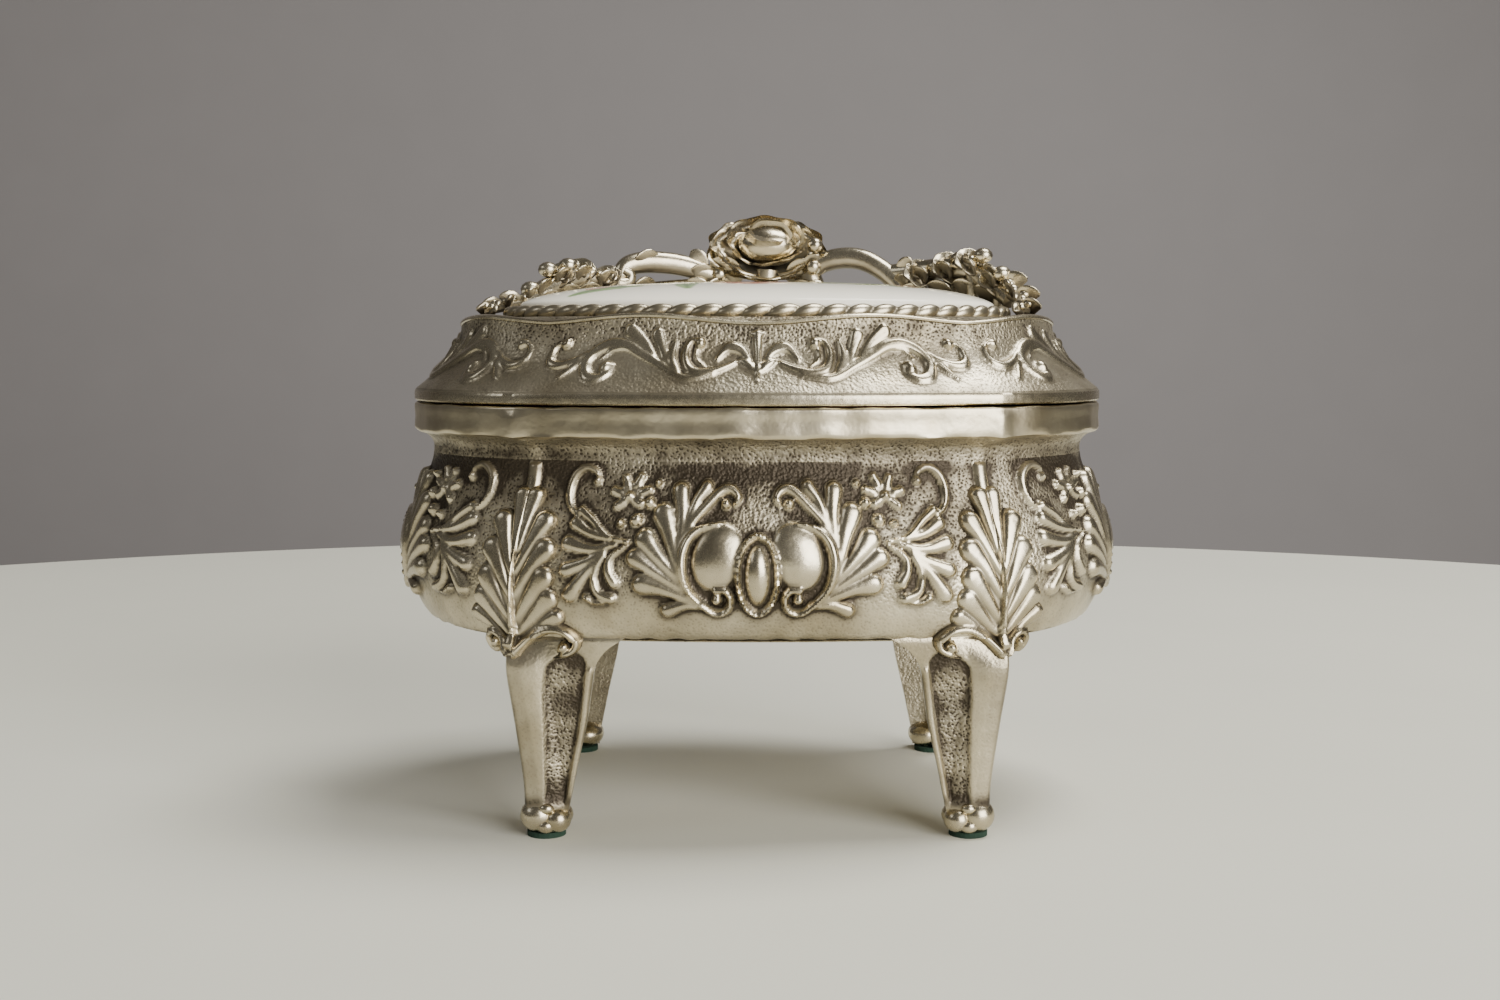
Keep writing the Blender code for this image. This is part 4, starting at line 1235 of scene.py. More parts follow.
        # Painted shade in the groove above the toe; the small constant darkens the whole leg a little.
        tarnish_and_shade = np.clip(tarnish_and_shade + 0.6 * bell(z, 5.4, 1.1) + 0.07, 0, 1)
        # Painted shade on the narrow strip beside the corner, standing for a chamfer facet turned from the
        # light.
        tarnish_and_shade = np.clip(tarnish_and_shade + 0.16 * eased((2.1 - away) / 0.7) * eased((29 - z) / 3), 0, 1)
        ground = sunk * panel + 0.15
        plain = np.full(back.shape, 0.3)
        sheet = Sheet(
            np.concatenate([face, inside], 1) * (side_x, side_y, 1.0),
            np.concatenate([tarnish_and_shade, plain], 1),
            np.concatenate([ground, plain], 1),
        )
        return sheet.tube("leg")

    def toe(self, side_x: float, side_y: float) -> list[bpy.types.Mesh]:
        """The rolled toe at a leg's foot: lobes pressed together round the corner."""
        flip = np.array((side_x, side_y, 1.0))
        lobes = (
            ((30.6, -27.2, 2.9), (3.1, 2.9, 2.2)),
            ((32.6, -28.7, 3.2), (2.7, 2.6, 2.5)),
            ((29.7, -29.1, 2.7), (2.1, 2.3, 2.0)),
            ((33.0, -26.0, 2.8), (1.9, 2.3, 2.0)),
            ((31.2, -30.2, 4.5), (1.2, 1.0, 0.9)),
            ((31.3, -29.8, 1.9), (1.5, 1.6, 1.2)),
        )
        return [bead(np.array(centre) * flip, radii, 3) for centre, radii in lobes]

    def leaf_relief(self, relief: Relief) -> None:
        """The acanthus leaf: a midrib, overlapping lobes and the scroll at the knee."""
        relief.stroke(((0.0, 33.8), (0.0, 42.0), (0.0, 50.0)), 3.6, 0.6, Taper.TAIL, mirrored=False)
        lobes: tuple[tuple[Points, float], ...] = (
            (((0.3, 43.0), (0.7, 47.6), (1.0, 50.8)), 1.5),
            (((0.4, 40.0), (2.3, 44.6), (3.4, 47.2)), 1.7),
            (((0.4, 36.6), (2.8, 41.0), (4.3, 43.2)), 1.8),
            (((0.5, 33.2), (3.1, 37.0), (4.6, 39.2)), 1.8),
            (((0.5, 30.8), (3.8, 34.4), (5.4, 36.2)), 1.65),
            (((0.6, 29.3), (4.4, 32.4), (6.6, 33.6)), 1.25),
        )
        for number, (points, width) in enumerate(reversed(lobes)):
            relief.stroke(points, width, 1.0 + 0.1 * number, groove=0.08)
        relief.stroke(((0.0, 28.8), (0.0, 38.0), (0.0, 51.4)), 0.55, 1.75, Taper.TAIL, mirrored=False)
        curl = (
            (-0.7, 28.0), (-2.6, 30.5), (-4.9, 31.8), (-7.4, 31.8), (-9.2, 30.4), (-9.3, 28.9), (-8.1, 28.1),
        )
        relief.stroke(curl, 0.72, 1.5, Taper.EVEN, mirrored=False)
        relief.dome((-7.7, 29.1), (1.0, 1.0), 1.8, mirrored=False)
        back_curl = ((0.7, 28.0), (1.9, 30.2), (3.3, 31.2), (4.6, 30.6), (4.6, 29.2), (3.7, 28.7))
        relief.stroke(back_curl, 0.62, 1.3, Taper.EVEN, mirrored=False)
        relief.dome((3.4, 29.6), (0.85, 0.85), 1.5, mirrored=False)

    def leaf(self, side_x: float, side_y: float) -> bpy.types.Mesh:
        """One corner leaf, laid over the joint of wall and leg."""
        z = np.linspace(26.4, 52.8, 132)
        upper = ((44.0, 7.4), (53.0, 4.2))
        front = profile_at(z, ((26.0, 1.6), (27.2, 6.5), (28.2, 10.2), (31.0, 10.6), (34.0, 9.4), *upper))
        end = profile_at(z, (
            (26.0, 1.2), (27.4, 3.0), (28.2, 5.5), (30.6, 5.7), (31.6, 6.8), (34.0, 8.8), *upper,
        ))
        share = np.linspace(0, 1, 150)[None, :]
        offset = -front[:, None] + (front + end)[:, None] * share
        heights = np.repeat(z[:, None], offset.shape[1], 1)
        relief = Relief(offset, heights)
        self.leaf_relief(relief)
        height = softened(relief.height, 0.7)
        tarnish_and_shade, _ = patina(height, 0.16, wrap=False)
        bare = height < 0.02
        base = self.skin(offset, heights, False)
        along, up = np.gradient(base, axis=1), np.gradient(base, axis=0)
        normal = unit(np.cross(along, up))
        face = base + normal * np.where(bare, -0.7, height + 0.12)[..., None]
        back = (base - normal * 1.3)[:, ::-30]
        plain = np.zeros(back.shape[:2])
        sheet = Sheet(
            np.concatenate([face, back], 1) * (side_x, side_y, 1.0),
            np.concatenate([np.where(bare, 0.8, tarnish_and_shade * 0.8), plain], 1),
            np.concatenate([plain, np.zeros(face.shape[:2])], 1),
        )
        return sheet.tube("corner_leaf")

    def build(self) -> None:
        """Builds the legs and leaves of all four corners."""
        for y_name, side_y in (("front", 1.0), ("back", -1.0)):
            for x_name, side_x in (("left", -1.0), ("right", 1.0)):
                place = f"{y_name}_{x_name}"
                leg = joined(f"cabriole_{place}", [self.leg(side_x, side_y), *self.toe(side_x, side_y)])
                for name, mesh, nodes in (
                    (f"cabriole_{place}", leg, [f"leg_{place}"]),
                    (f"corner_leaf_{place}", self.leaf(side_x, side_y), []),
                ):
                    finish_piece(name, mesh, self.finishes.casting, Body.BOX, nodes)


# ---------------------------------------------------------------- lid


@dataclass
class Lid:
    """The lid casting, its rope bezel and the porcelain plaque.

    Attributes:
        finishes: The finishes to dress it in.
        outline: How its plan is cut into columns.
        corner: Where the plan's corners are, in millimetres.
        lean: How far its end, front and corners lean in from the bevel to the deck.
        bevel: Height of the plain bevel at its foot.
        wave: Rise and fall of the fillet along its top.
        hollow: How strongly the wall curves in from a slope to upright; 1 is straight.
        sunk: How far the rope is let down behind the fillet, in millimetres.
        turns: Humps of the rope in its whole round.
        wall_rows: Rows of the ornamented wall's mesh.
        ledge: How far the opening in the deck lies inside the rope's outer edge, in millimetres.
    """

    finishes: Finishes
    outline: Outline = field(default_factory=lambda: Outline((300, 230, 230, 230)))
    corner: tuple[float, float] = (35.3, 31.0)
    lean: tuple[float, float, float] = (7.2, 5.5, 4.5)
    bevel: float = 1.9
    wave: float = 0.55
    hollow: float = 1.8
    sunk: float = 0.85
    turns: int = 56
    wall_rows: int = 60
    ledge: float = 5.9

    def __post_init__(self) -> None:
        """Reads the lid's size and the plaque's from the frame."""
        low, high = box_mm("lid_shell")
        self.foot, self.deck = low.z, high.z
        self.half_width, self.half_depth = high.x, high.y
        _, self.bezel = box_mm("plaque_bezel")
        self.plaque_low, self.plaque_high = box_mm("porcelain_plaque")

    def wall_grid(self, share: np.ndarray, inset: np.ndarray) -> tuple[np.ndarray, np.ndarray]:
        """X and Y grids of the leaning wall; share runs from the bevel (0) to the deck (1)."""
        lean = 1 - (1 - np.clip(share, 0, 1)) ** self.hollow
        back = 0.3 * (share >= 0) + inset
        return self.outline.place(
            self.corner[0] - self.lean[2] * lean - back,
            self.corner[1] - self.lean[2] * lean - back,
            self.half_width - self.lean[0] * lean - back,
            self.half_depth - self.lean[1] * lean - back,
        )

    def ripple(self) -> np.ndarray:
        """How far the top fillet stands above its mean, at each column."""
        shares = np.concatenate(self.outline.shares())
        return self.wave * -np.cos(math.pi * np.clip(np.abs(shares) / 0.54, 0, 2))

    def build_casting(self) -> None:
        """Bevel, ornamented wall, wavy fillet, deck and the hollow inside, as one closed casting."""
        foot = self.foot + self.bevel
        top = self.deck - 0.95
        bevel_z = np.array([self.foot, self.foot + 0.25, self.foot + 0.9, self.foot + 1.5, foot - 0.1])
        bevel_out = np.array([0.25, 0.0, -0.02, 0.02, 0.25])
        bx, by = self.wall_grid(np.full((len(bevel_z), 1), -0.1), bevel_out[:, None])
        bevel = np.stack([bx, by, np.broadcast_to(bevel_z[:, None], bx.shape)], -1)

        share = np.linspace(0.0, 1.0, self.wall_rows)[:, None]
        ripple = self.ripple()[None, :] * share**2
        wx, wy = self.wall_grid(share, np.zeros_like(share))
        z = foot + (top - foot) * share + ripple
        height = self.outline.decorated(foot + (top - foot) * share + 0 * wx, self.corner[0], lid_motif)
        height *= eased(share / 0.06) * eased((1 - share) / 0.1)
        seat = eased((10.8 - np.abs(wx)) / 0.8) * eased((0.5 - share) / 0.08) * (wy > 0)
        height = height * (1 - seat) + 0.62 * np.sin(math.pi * np.clip(share / 0.85, 0, 1)) * seat
        tarnish_and_shade, ground = patina(height, 0.23)
        # Painted shade on the wall's ground: at its foot, under the top fillet, and a little all over.
        shade = 0.3 * eased((0.2 - share) / 0.2) + 0.22 * eased((share - 0.6) / 0.3) + 0.06
        tarnish_and_shade = np.clip(0.75 * tarnish_and_shade + shade * ground, 0, 1)
        ground = ground * (0.35 + 0.65 * eased((share - 0.45) / 0.4))
        wall = np.stack([wx, wy, z], -1)
        wall = wall + outward(wx, wy, z) * height[..., None]

        turn = np.linspace(-0.35, 1.15, 8)[:, None] * math.pi
        fx, fy = self.wall_grid(np.ones_like(turn), 0.42 - 0.52 * np.cos(turn) - 0.1)
        fz = top + self.ripple()[None, :] + 0.35 + 0.42 * np.sin(turn)
        fillet = np.stack([fx, fy, fz], -1)

        last = fillet[-1]
        angle = np.arctan2(last[:, 1] / self.bezel.y, last[:, 0] / self.bezel.x)
        rows = []
        window = (self.bezel.x - self.ledge, self.bezel.y - self.ledge)
        for step in np.linspace(0.12, 1.0, 10):
            oval = np.stack([window[0] * np.cos(angle), window[1] * np.sin(angle)], -1)
            flat = last[:, :2] * (1 - step) + oval * step
            drop = last[:, 2] + (self.deck - 0.05 - last[:, 2]) * eased(step / 0.3)
            rows.append(np.concatenate([flat, drop[:, None]], 1))
        deck = np.stack(rows)
        lip = deck[-1:] - (0, 0, 1.4)
        inner_share = np.array([0.86, 0.45, 0.0, -0.1])[:, None]
        ix, iy = self.wall_grid(inner_share, np.full_like(inner_share, 1.6))
        inner_z = np.array([self.deck - 1.6, foot + 4.5, foot, self.foot])[:, None]
        inner = np.stack([ix, iy, np.broadcast_to(inner_z, ix.shape)], -1)
        place = np.concatenate([bevel, wall, fillet, deck, lip, inner])
        # The tarnish grid also carries the wall's painted shade.
        tarnish, matted = np.zeros(place.shape[:2]), np.zeros(place.shape[:2])
        start, end = len(bevel), len(bevel) + len(wall)
        deck_start = end + len(fillet)
        tarnish[start - 1] = 0.5
        tarnish[start:end], matted[start:end] = tarnish_and_shade, ground
        tarnish[deck_start : deck_start + len(deck)] = 0.45
        matted[deck_start + 1 : deck_start + len(deck) - 1] = 0.8
        mesh = Sheet(place, tarnish, matted).mesh("lid_casting", wrap_rows=True, wrap_columns=True)
        finish_piece("lid_casting", mesh, self.finishes.casting, Body.LID, ["lid_shell"])

    def build_bezel(self) -> None:
        """The two-strand rope round the plaque."""
        low, high = box_mm("plaque_bezel")
        radius = (high.z - low.z) / 2
        level = (low.z + high.z) / 2 - self.sunk
        a, b = high.x - radius, high.y - radius
        around = np.linspace(0, 2 * math.pi, 1080, endpoint=False)
        step = np.hypot(a * np.sin(around), b * np.cos(around))
        run = np.cumsum(step) / step.sum()
        section = np.linspace(0, 2 * math.pi, 22, endpoint=False)[:, None]
        hump = np.abs(np.cos(section / 2 - math.pi * self.turns * run[None, :])) ** 0.6
        lobed = radius * (0.5 + 0.56 * hump)
        normal = unit(np.stack([b * np.cos(around), a * np.sin(around)], -1))
        out = lobed * np.cos(section)
        place = np.stack([
            a * np.cos(around) + out * normal[:, 0],
            b * np.sin(around) + out * normal[:, 1],
            level + lobed * np.sin(section),
        ], -1)
        tarnish_and_shade = np.clip((0.8 * radius - lobed) / (0.26 * radius), 0, 1)
        mesh = Sheet(place, tarnish_and_shade, np.zeros_like(tarnish_and_shade)).mesh("rope_bezel", True, True)
        rubbed = self.finishes.rubbed
        finish_piece("rope_bezel", mesh, rubbed, Body.LID, ["plaque_bezel"], 60)

    def build_plaque(self) -> None:
        """The domed porcelain plaque with its painted spray."""
        a, b = self.plaque_high.x, self.plaque_high.y
        low, top = self.plaque_low.z, self.plaque_high.z
        edge = low + 1.7
        around = np.linspace(0, 2 * math.pi, 380, endpoint=False)[None, :]
        rim = [0.996, 1.0, 1.0, 0.99, 0.02]
        reach = np.concatenate([np.linspace(0.004, 0.9, 104), np.linspace(0.91, 0.985, 14), rim])
        dome = edge + (top - edge) * (1 - np.clip(reach, 0, 1) ** 3.2) ** 0.66
        dome[-4:] = (edge - 0.25, edge - 0.8, low + 0.2, low)
        place = np.stack([
            reach[:, None] * a * np.cos(around), reach[:, None] * b * np.sin(around),
            np.broadcast_to(dome[:, None], (len(reach), around.shape[1])),
        ], -1)
        mesh = Sheet(place).tube("painted_plaque")
        paint_spray(mesh)
        glaze = self.finishes.porcelain
        finish_piece("painted_plaque", mesh, glaze, Body.LID, ["porcelain_plaque"])

    def build(self) -> None:
        """Builds the casting, the bezel and the plaque."""
        self.build_casting()
        self.build_bezel()
        self.build_plaque()


def paint_spray(mesh: bpy.types.Mesh) -> None:
    """Paints a rose with leaves and buds on the plaque, as colours in its paint attribute."""
    x, y, _ = points_of(mesh).T / MM
    colour = np.tile(np.array([1.0, 0.96, 0.84]), (len(x), 1))

    def wash(points: Points, width: float, tint: Colour, strength: float, taper: Taper) -> None:
        """Lays one brush stroke over the white."""
        layer = Relief((x + 1.0) / 1.35, (y + 12.0) / 1.5)
        layer.stroke(points, width, 1.0, taper, mirrored=False)
        share = (np.clip(layer.height * 1.8, 0, 1) ** 0.7 * strength)[:, None]
        colour[:] = colour * (1 - share) + np.array(tint) * share

    stem = (0.16, 0.24, 0.09)
    wash(((-15.0, -2.0), (-8.0, 1.0), (0.0, 1.5), (9.0, -1.0), (16.0, 1.0)), 0.35, stem, 0.9, Taper.STEM)
    leaves = (
        (-9.0, 1.2, 140), (-12.5, -1.2, 165), (-6.0, 0.5, 250), (8.0, 0.0, 45), (11.5, -0.5, 40),
        (6.0, 1.0, 75), (-15.0, -1.5, 170), (15.0, 0.8, 20), (-3.0, 4.5, 110), (3.5, 5.0, 70),
    )
    for lx, ly, angle in leaves:
        c, s = math.cos(math.radians(angle)), math.sin(math.radians(angle))
        tip = (lx + 5.2 * c - 0.8 * s, ly + 5.2 * s + 0.8 * c)
        middle = (lx + 2.6 * c + 0.4 * s, ly + 2.6 * s - 0.4 * c)
        wash(((lx, ly), middle, tip), 1.35, (0.22, 0.38, 0.12), 0.85, Taper.STEM)
        wash((middle, tip), 0.5, (0.10, 0.20, 0.07), 0.6, Taper.TAIL)
        wash(((lx, ly), middle), 0.4, (0.55, 0.62, 0.30), 0.5, Taper.TAIL)
    for ring, (radius, count, tint) in enumerate((
        (3.3, 7, (0.62, 0.22, 0.20)), (2.1, 6, (0.52, 0.13, 0.12)), (0.9, 4, (0.34, 0.06, 0.06)),
    )):
        for number in range(count):
            turn = 2 * math.pi * (number + 0.4 * ring) / count
            centre = (radius * math.cos(turn), 1.2 + radius * math.sin(turn))
            side = (-0.9 * math.sin(turn), 0.9 * math.cos(turn))
            arc = [(centre[0] + way * side[0], centre[1] + way * side[1]) for way in (-1, 0, 1)]
            wash(arc, 1.25, tint, 0.75, Taper.EVEN)
            rim = [(px + 0.5 * math.cos(turn), py + 0.5 * math.sin(turn)) for px, py in arc]
            wash(rim, 0.35, (0.86, 0.55, 0.47), 0.7, Taper.STEM)
    for bx, by in ((-17.5, 1.0), (18.0, 2.0), (-10.5, 5.5), (11.0, 4.5)):
        wash(((bx - 0.6, by), (bx + 0.6, by + 0.3)), 1.0, (0.66, 0.26, 0.22), 0.85, Taper.EVEN)
        wash(((bx, by + 0.4), (bx + 0.5, by + 0.5)), 0.4, (0.90, 0.62, 0.50), 0.7, Taper.EVEN)
    layer = mesh.attributes.new("paint", "FLOAT_COLOR", "POINT")
    rgba = np.concatenate([colour, np.ones((len(x), 1))], 1).astype(np.float32)
    layer.data.foreach_set("color", rgba.ravel())


# ---------------------------------------------------------------- garland


@dataclass
class Garland:
    """The openwork spray that stands round the back of the plaque, and the rose at its middle.

    Attributes:
        finishes: The finishes to dress it in.
        space: From the plaque's bezel out to the line that the spray follows, in millimetres.
    """

    finishes: Finishes
    space: float = 3.3

    def __post_init__(self) -> None:
        """Reads the bezel, the deck and the rose from the frame."""
        low, high = box_mm("plaque_bezel")
        self.deck = low.z - 0.3
        radius = (high.z - low.z) / 2
        self.long, self.short = high.x - radius + self.space, high.y - radius + self.space
        _, rose_high = box_mm("centre_rose")
        self.rose_top = rose_high.z

    def spot(self, angle: float, height: float, out: float = 0.0) -> np.ndarray:
        """A point on the spray's line; the angle in degrees runs from the middle of the back to the right."""
        turn = math.radians(angle)
        x, y = (self.long + out) * math.sin(turn), (self.short + out) * math.cos(turn)
        return np.array((x, y, self.deck + height))

    def vine(
        self, stations: Sequence[tuple[float, float, float]], radii: Sequence[float], tall: float = 1.0
    ) -> bpy.types.Mesh:
        """A rod through (angle, height, out) stations."""
        return rod([self.spot(*station) for station in stations], radii, self.deck, tall)

    def sprig(
        self,
        angle: float,
        height: float,
        toward: Way,
        length: float,
        width: float,
        droop: float = 0.3,
    ) -> bpy.types.Mesh:
        """One leaf growing from the spray's line.

        Args:
            angle: Where it starts.
            height: How far up it starts.
            toward: The way it grows: round to the right, up, and out from the plaque.
            length: Its length.
            width: Half its breadth.
            droop: How far its tip bends down, as a share of its length.

        Returns:
            The mesh.
        """
        turn = math.radians(angle)
        right = np.array((math.cos(turn), -math.sin(turn), 0.0))
        outward_way = np.array((math.sin(turn), math.cos(turn), 0.0))
        way = unit(right * toward[0] + np.array((0, 0, 1.0)) * toward[1] + outward_way * toward[2])
        root = self.spot(angle, height)
        middle = root + way * length * 0.55 + np.array((0, 0, length * droop * 0.8))
        tip = root + way * length - np.array((0, 0, length * droop * 0.4))
        side = np.cross(way, outward_way + np.array((0, 0, 0.35)))
        return blade(root, middle, tip, side, width, -0.25, 0.6, 0.3, self.deck)

    def sprigs(self, *rows: tuple[float, float, Way, float, float]) -> list[bpy.types.Mesh]:
        """One leaf for each row of angle, height, way, length and width."""
        return [self.sprig(*row) for row in rows]

    def blossom(self, angle: float, height: float, radius: float, out: float = 0.0) -> list[bpy.types.Mesh]:
        """A small five-petalled flower that looks up and towards the front, on a short post."""
        turn = math.radians(angle)
        place = self.spot(angle, height, out)
        facing = (0.25 * math.sin(turn), -0.75 * math.cos(turn) - 0.35, 0.6)
        rings = ((5, 1.0, 0.12, 0.62, 17 * angle), (4, 0.62, 0.45, 0.46, 31 * angle))
        foot = [self.spot(angle, 0.2, out), self.spot(angle + 1, height * 0.5, out), place]
        return [*rosette(place, facing, radius, rings, 0.34), rod(foot, (1.2, 1.0, 1.1), self.deck)]

    def bank(self, side: float, crest: Points, radius: float) -> list[bpy.types.Mesh]:
        """A dense bank of blossoms, leaves and buds.

        Args:
            side: 1 to the right of the rose, -1 to the left.
            crest: The (angle, height) points that its top edge follows.
            radius: Size of its blossoms.

        Returns:
            The meshes.
        """
        parts = []
        for number, (angle, top) in enumerate(curve_through(crest, 2)[::2]):
            size = radius * (1.0 if number % 2 else 0.86)
            parts += self.blossom(side * angle, top - size * 0.9, size, 0.5 if number % 2 else -0.6)
            parts.append(bead(self.spot(side * (angle + 4.5), top - 1.5, -0.3), (1.7, 1.5, 1.35)))
            for share, lean in ((0.62, 0.9), (0.34, -0.7)):
                way = (side * lean, 0.5, -0.5)
                parts.append(self.sprig(side * (angle - 2 * lean), top * share, way, 4.8, 2.0, 0.2))
        return parts

    def low_vine(
        self, side: float, start: float, end: float, lift: float, size: float
    ) -> list[bpy.types.Mesh]:
        """The trail of leaves and buds that lies on the deck round the end of the plaque.

        Args:
            side: 1 to the right of the rose, -1 to the left.
            start: The angle at which it starts.
            end: The angle at which it ends.
            lift: How far it starts above the deck.
            size: Scale of its leaves and buds.

        Returns:
            The meshes.
        """

        def trail(share: float) -> tuple[float, float]:
            """The angle, and the height above the stem's low end, at a share of the way along."""
            return side * (start + (end - start) * share), lift * (1 - share) ** 1.3

        steps, leaves = 8, 7
        stations = []
        for step in range(steps + 1):
            angle, rise = trail(step / steps)
            stations.append((angle, 0.9 + rise, 0.3))
        parts = [self.vine(stations, np.linspace(1.3, 0.7, steps + 1) * size)]
        for number in range(leaves):
            share = number / (leaves - 1)
            angle, rise = trail(share)
            height = 1.0 + rise
            out = 0.75 if number % 2 else -0.35
            way = (side * 0.8, 0.5 - 0.42 * share, out)
            length, width = (5.4 - 1.8 * share) * size, (2.0 - 0.5 * share) * size
            parts.append(self.sprig(angle, height, way, length, width, 0.2))
            girth = (1.4 - 0.45 * share) * size
            place = self.spot(angle + side * 2.2, height + 0.7, out * 0.8)
            parts.append(bead(place, (girth, girth, girth * 0.8)))
        return parts

    def left(self) -> list[bpy.types.Mesh]:
        """The left half: a broad scroll beside the rose, a bank of flowers, and a low trail."""
        arch = (
            (-31, 6.0, 0), (-33.5, 7.6, 0), (-32, 9.4, 0), (-27, 10.2, 0),
            (-20, 10.0, 0), (-14, 9.0, 0), (-8, 7.2, 0),
        )
        curl = (
            (-37, 8.0, -0.8), (-35.5, 6.4, -1.1), (-32.5, 6.6, -1.1), (-31.8, 8.0, -1.1), (-33.6, 8.8, -1.1),
        )
        low_stem = ((-64, 1.2, 0), (-52, 1.4, 0), (-40, 1.4, 0), (-22, 1.6, 0), (-8, 3.0, 0))
        parts = [
            self.vine(arch, (0.9, 1.35, 1.5, 1.6, 1.6, 1.5, 1.3), 1.2),
            self.vine(curl, (1.2, 1.3, 1.15, 0.95, 0.8)),
            self.vine(((-37, 0.4, 0), (-35.5, 2.6, 0), (-35, 5.4, 0), (-35, 7.6, 0)), (1.5, 1.4, 1.4, 1.2)),
            self.vine(((-33, 5.4, 0), (-26, 5.6, 0), (-18, 6.0, 0), (-9, 6.4, 0)), (1.2, 1.2, 1.3, 1.2)),
            self.vine(((-66, 2.6, 0), (-56, 5.4, 0), (-46, 7.2, 0), (-37, 7.0, 0)), (1.6, 1.8, 1.8, 1.6)),
            self.vine(low_stem, (1.1, 1.1, 1.1, 1.0, 1.0)),
        ]
        parts += self.sprigs(
            (-24, 9.8, (-1.0, 0.35, -0.3), 5.0, 1.7),
            (-13, 8.6, (-0.5, 0.9, 0.0), 4.4, 2.0),
            (-11, 7.0, (-1.0, 0.7, -0.4), 4.6, 1.8),
            (-25, 5.6, (-0.8, 0.25, -0.3), 4.4, 1.3),
            (-17, 6.0, (0.9, 0.15, -0.3), 4.2, 1.3),
        )
        parts += self.bank(-1.0, ((38, 9.6), (45, 10.8), (52, 10.0), (59, 6.6)), 3.2)
        return parts + self.low_vine(-1.0, 62, 97, 2.0, 0.74)

    def right(self) -> list[bpy.types.Mesh]:
        """The right half: a smooth open arch, a bank of leaves and flowers, and a trail to the corner."""
        arch = (
            (12, 8.0, 0), (16, 10.2, 0), (21, 11.0, 0), (26, 10.6, 0),
            (31, 8.8, 0), (35, 6.4, 0), (38, 3.4, 0), (41, 1.0, 0),
        )
        crest = (
            (32, 8.2, 0.4), (42, 8.6, 0.4), (50, 8.8, 0.4), (58, 8.2, 0.4), (66, 6.0, 0.4), (76, 3.0, 0.4),
        )
        low_stem = ((10, 1.9, 0), (22, 1.6, 0), (34, 1.4, 0), (50, 1.4, 0), (66, 1.3, 0))
        parts = [
            self.vine(arch, (1.5, 1.65, 1.7, 1.7, 1.65, 1.6, 1.5, 1.2), 1.1),
            self.vine(((12, 0.7, 0), (14.0, 3.0, 0), (13.5, 6.2, 0), (12.5, 8.4, 0)), (1.5, 1.8, 2.1, 1.9)),
            self.vine(crest, (1.5, 1.8, 1.9, 1.9, 1.8, 1.4)),
            self.vine(low_stem, (1.0, 0.9, 1.0, 1.2, 1.2)),
        ]
        parts += self.sprigs(
            (37, 7.0, (0.5, 1.0, -0.2), 4.6, 1.9),
            (36, 5.0, (0.7, 0.9, -0.6), 4.6, 1.6),
            (41, 4.2, (0.3, 1.0, -0.6), 4.6, 1.6),
            (13.5, 8.0, (0.4, 1.0, -0.3), 4.4, 2.2),
            (15, 5.0, (-0.2, 0.7, -0.9), 3.8, 1.8),
            (18, 2.4, (0.9, 0.2, -0.3), 3.8, 1.3),
        )
        parts += self.bank(1.0, ((42, 10.6), (50, 11.8), (59, 12.2), (68, 9.0)), 3.5)
        return parts + self.low_vine(1.0, 66, 101, 5.2, 0.95)

    def rose(self) -> list[bpy.types.Mesh]:
        """The full-blown rose with leaves and buds at its foot."""
        middle = self.spot(2.6, self.rose_top - self.deck - 5.1, -0.6)
        facing = np.array((0.05, -0.84, 0.54))
        right = np.array((1.0, 0.06, 0.0))
        up = np.cross(right, facing)
        axes = np.stack([right * 1.24, up * 0.84, facing])
        parts = [bead(middle + facing * 1.0, (5.2, 3.9, 3.3), 3)]
        for petals in (
            (200, 52, (7.3, 3.6, 0.4), 0.9),
            (335, 54, (7.2, 3.6, 0.3), 0.9),
            (92, 60, (6.7, 3.4, -0.6), 0.8),
            (150, 44, (6.6, 3.2, 0.9), 0.8),
            (28, 46, (6.4, 3.2, 0.9), 0.8),
            (268, 56, (6.2, 3.2, 1.4), 0.8),
            (180, 58, (4.9, 2.8, 2.3), 0.5),
            (60, 60, (4.7, 2.8, 2.2), 0.5),
            (300, 62, (4.6, 2.8, 2.7), 0.5),
            (120, 95, (3.3, 2.0, 3.9), -0.9),
            (310, 100, (3.5, 2.0, 3.6), -0.5),
        ):
            parts.append(petal(middle, axes, *petals))
        parts += [
            self.vine(((1, 0.5, 0), (2, 4.0, 0), (2.6, 9.0, 0)), (2.2, 2.0, 2.2)),
            self.vine(((-9, 5.6, 0), (-3, 5.2, -0.6), (4, 5.0, -0.6), (12, 5.8, 0)), (0.8, 1.0, 1.0, 0.9)),
        ]
        parts += self.sprigs(
            (-4, 6.8, (-1.0, 0.75, -0.1), 6.6, 2.4),
            (-6, 5.6, (-1.0, 0.2, -0.5), 5.4, 1.5),
            (8, 6.8, (1.0, 0.8, -0.1), 5.6, 2.3),
            (9, 5.4, (1.0, 0.15, -0.5), 4.8, 1.5),
            (-2, 4.6, (-0.6, -0.3, -0.9), 3.8, 1.3),
            (4, 4.6, (0.5, -0.35, -0.9), 3.8, 1.3),
            (1, 4.2, (0.0, -0.25, -1.0), 3.4, 1.2),
        )
        buds = ((-9, 8.2, 1.3), (14, 9.4, 1.5), (14.5, 13.2, 1.4), (-6, 4.4, 1.2), (9, 5.0, 1.3))
        for angle, height, radius in buds:
            parts.append(bead(self.spot(angle, height, -1.6), (radius,) * 3))
        return parts

    def build(self) -> None:
        """Builds both halves and the rose."""
        for name, node, parts in (
            ("garland_spray_left", "garland_left", self.left()),
            ("garland_spray_right", "garland_right", self.right()),
            ("full_blown_rose", "centre_rose", self.rose()),
        ):
            mesh = joined(name, parts)
            finish_piece(name, mesh, self.finishes.casting, Body.LID, [node])


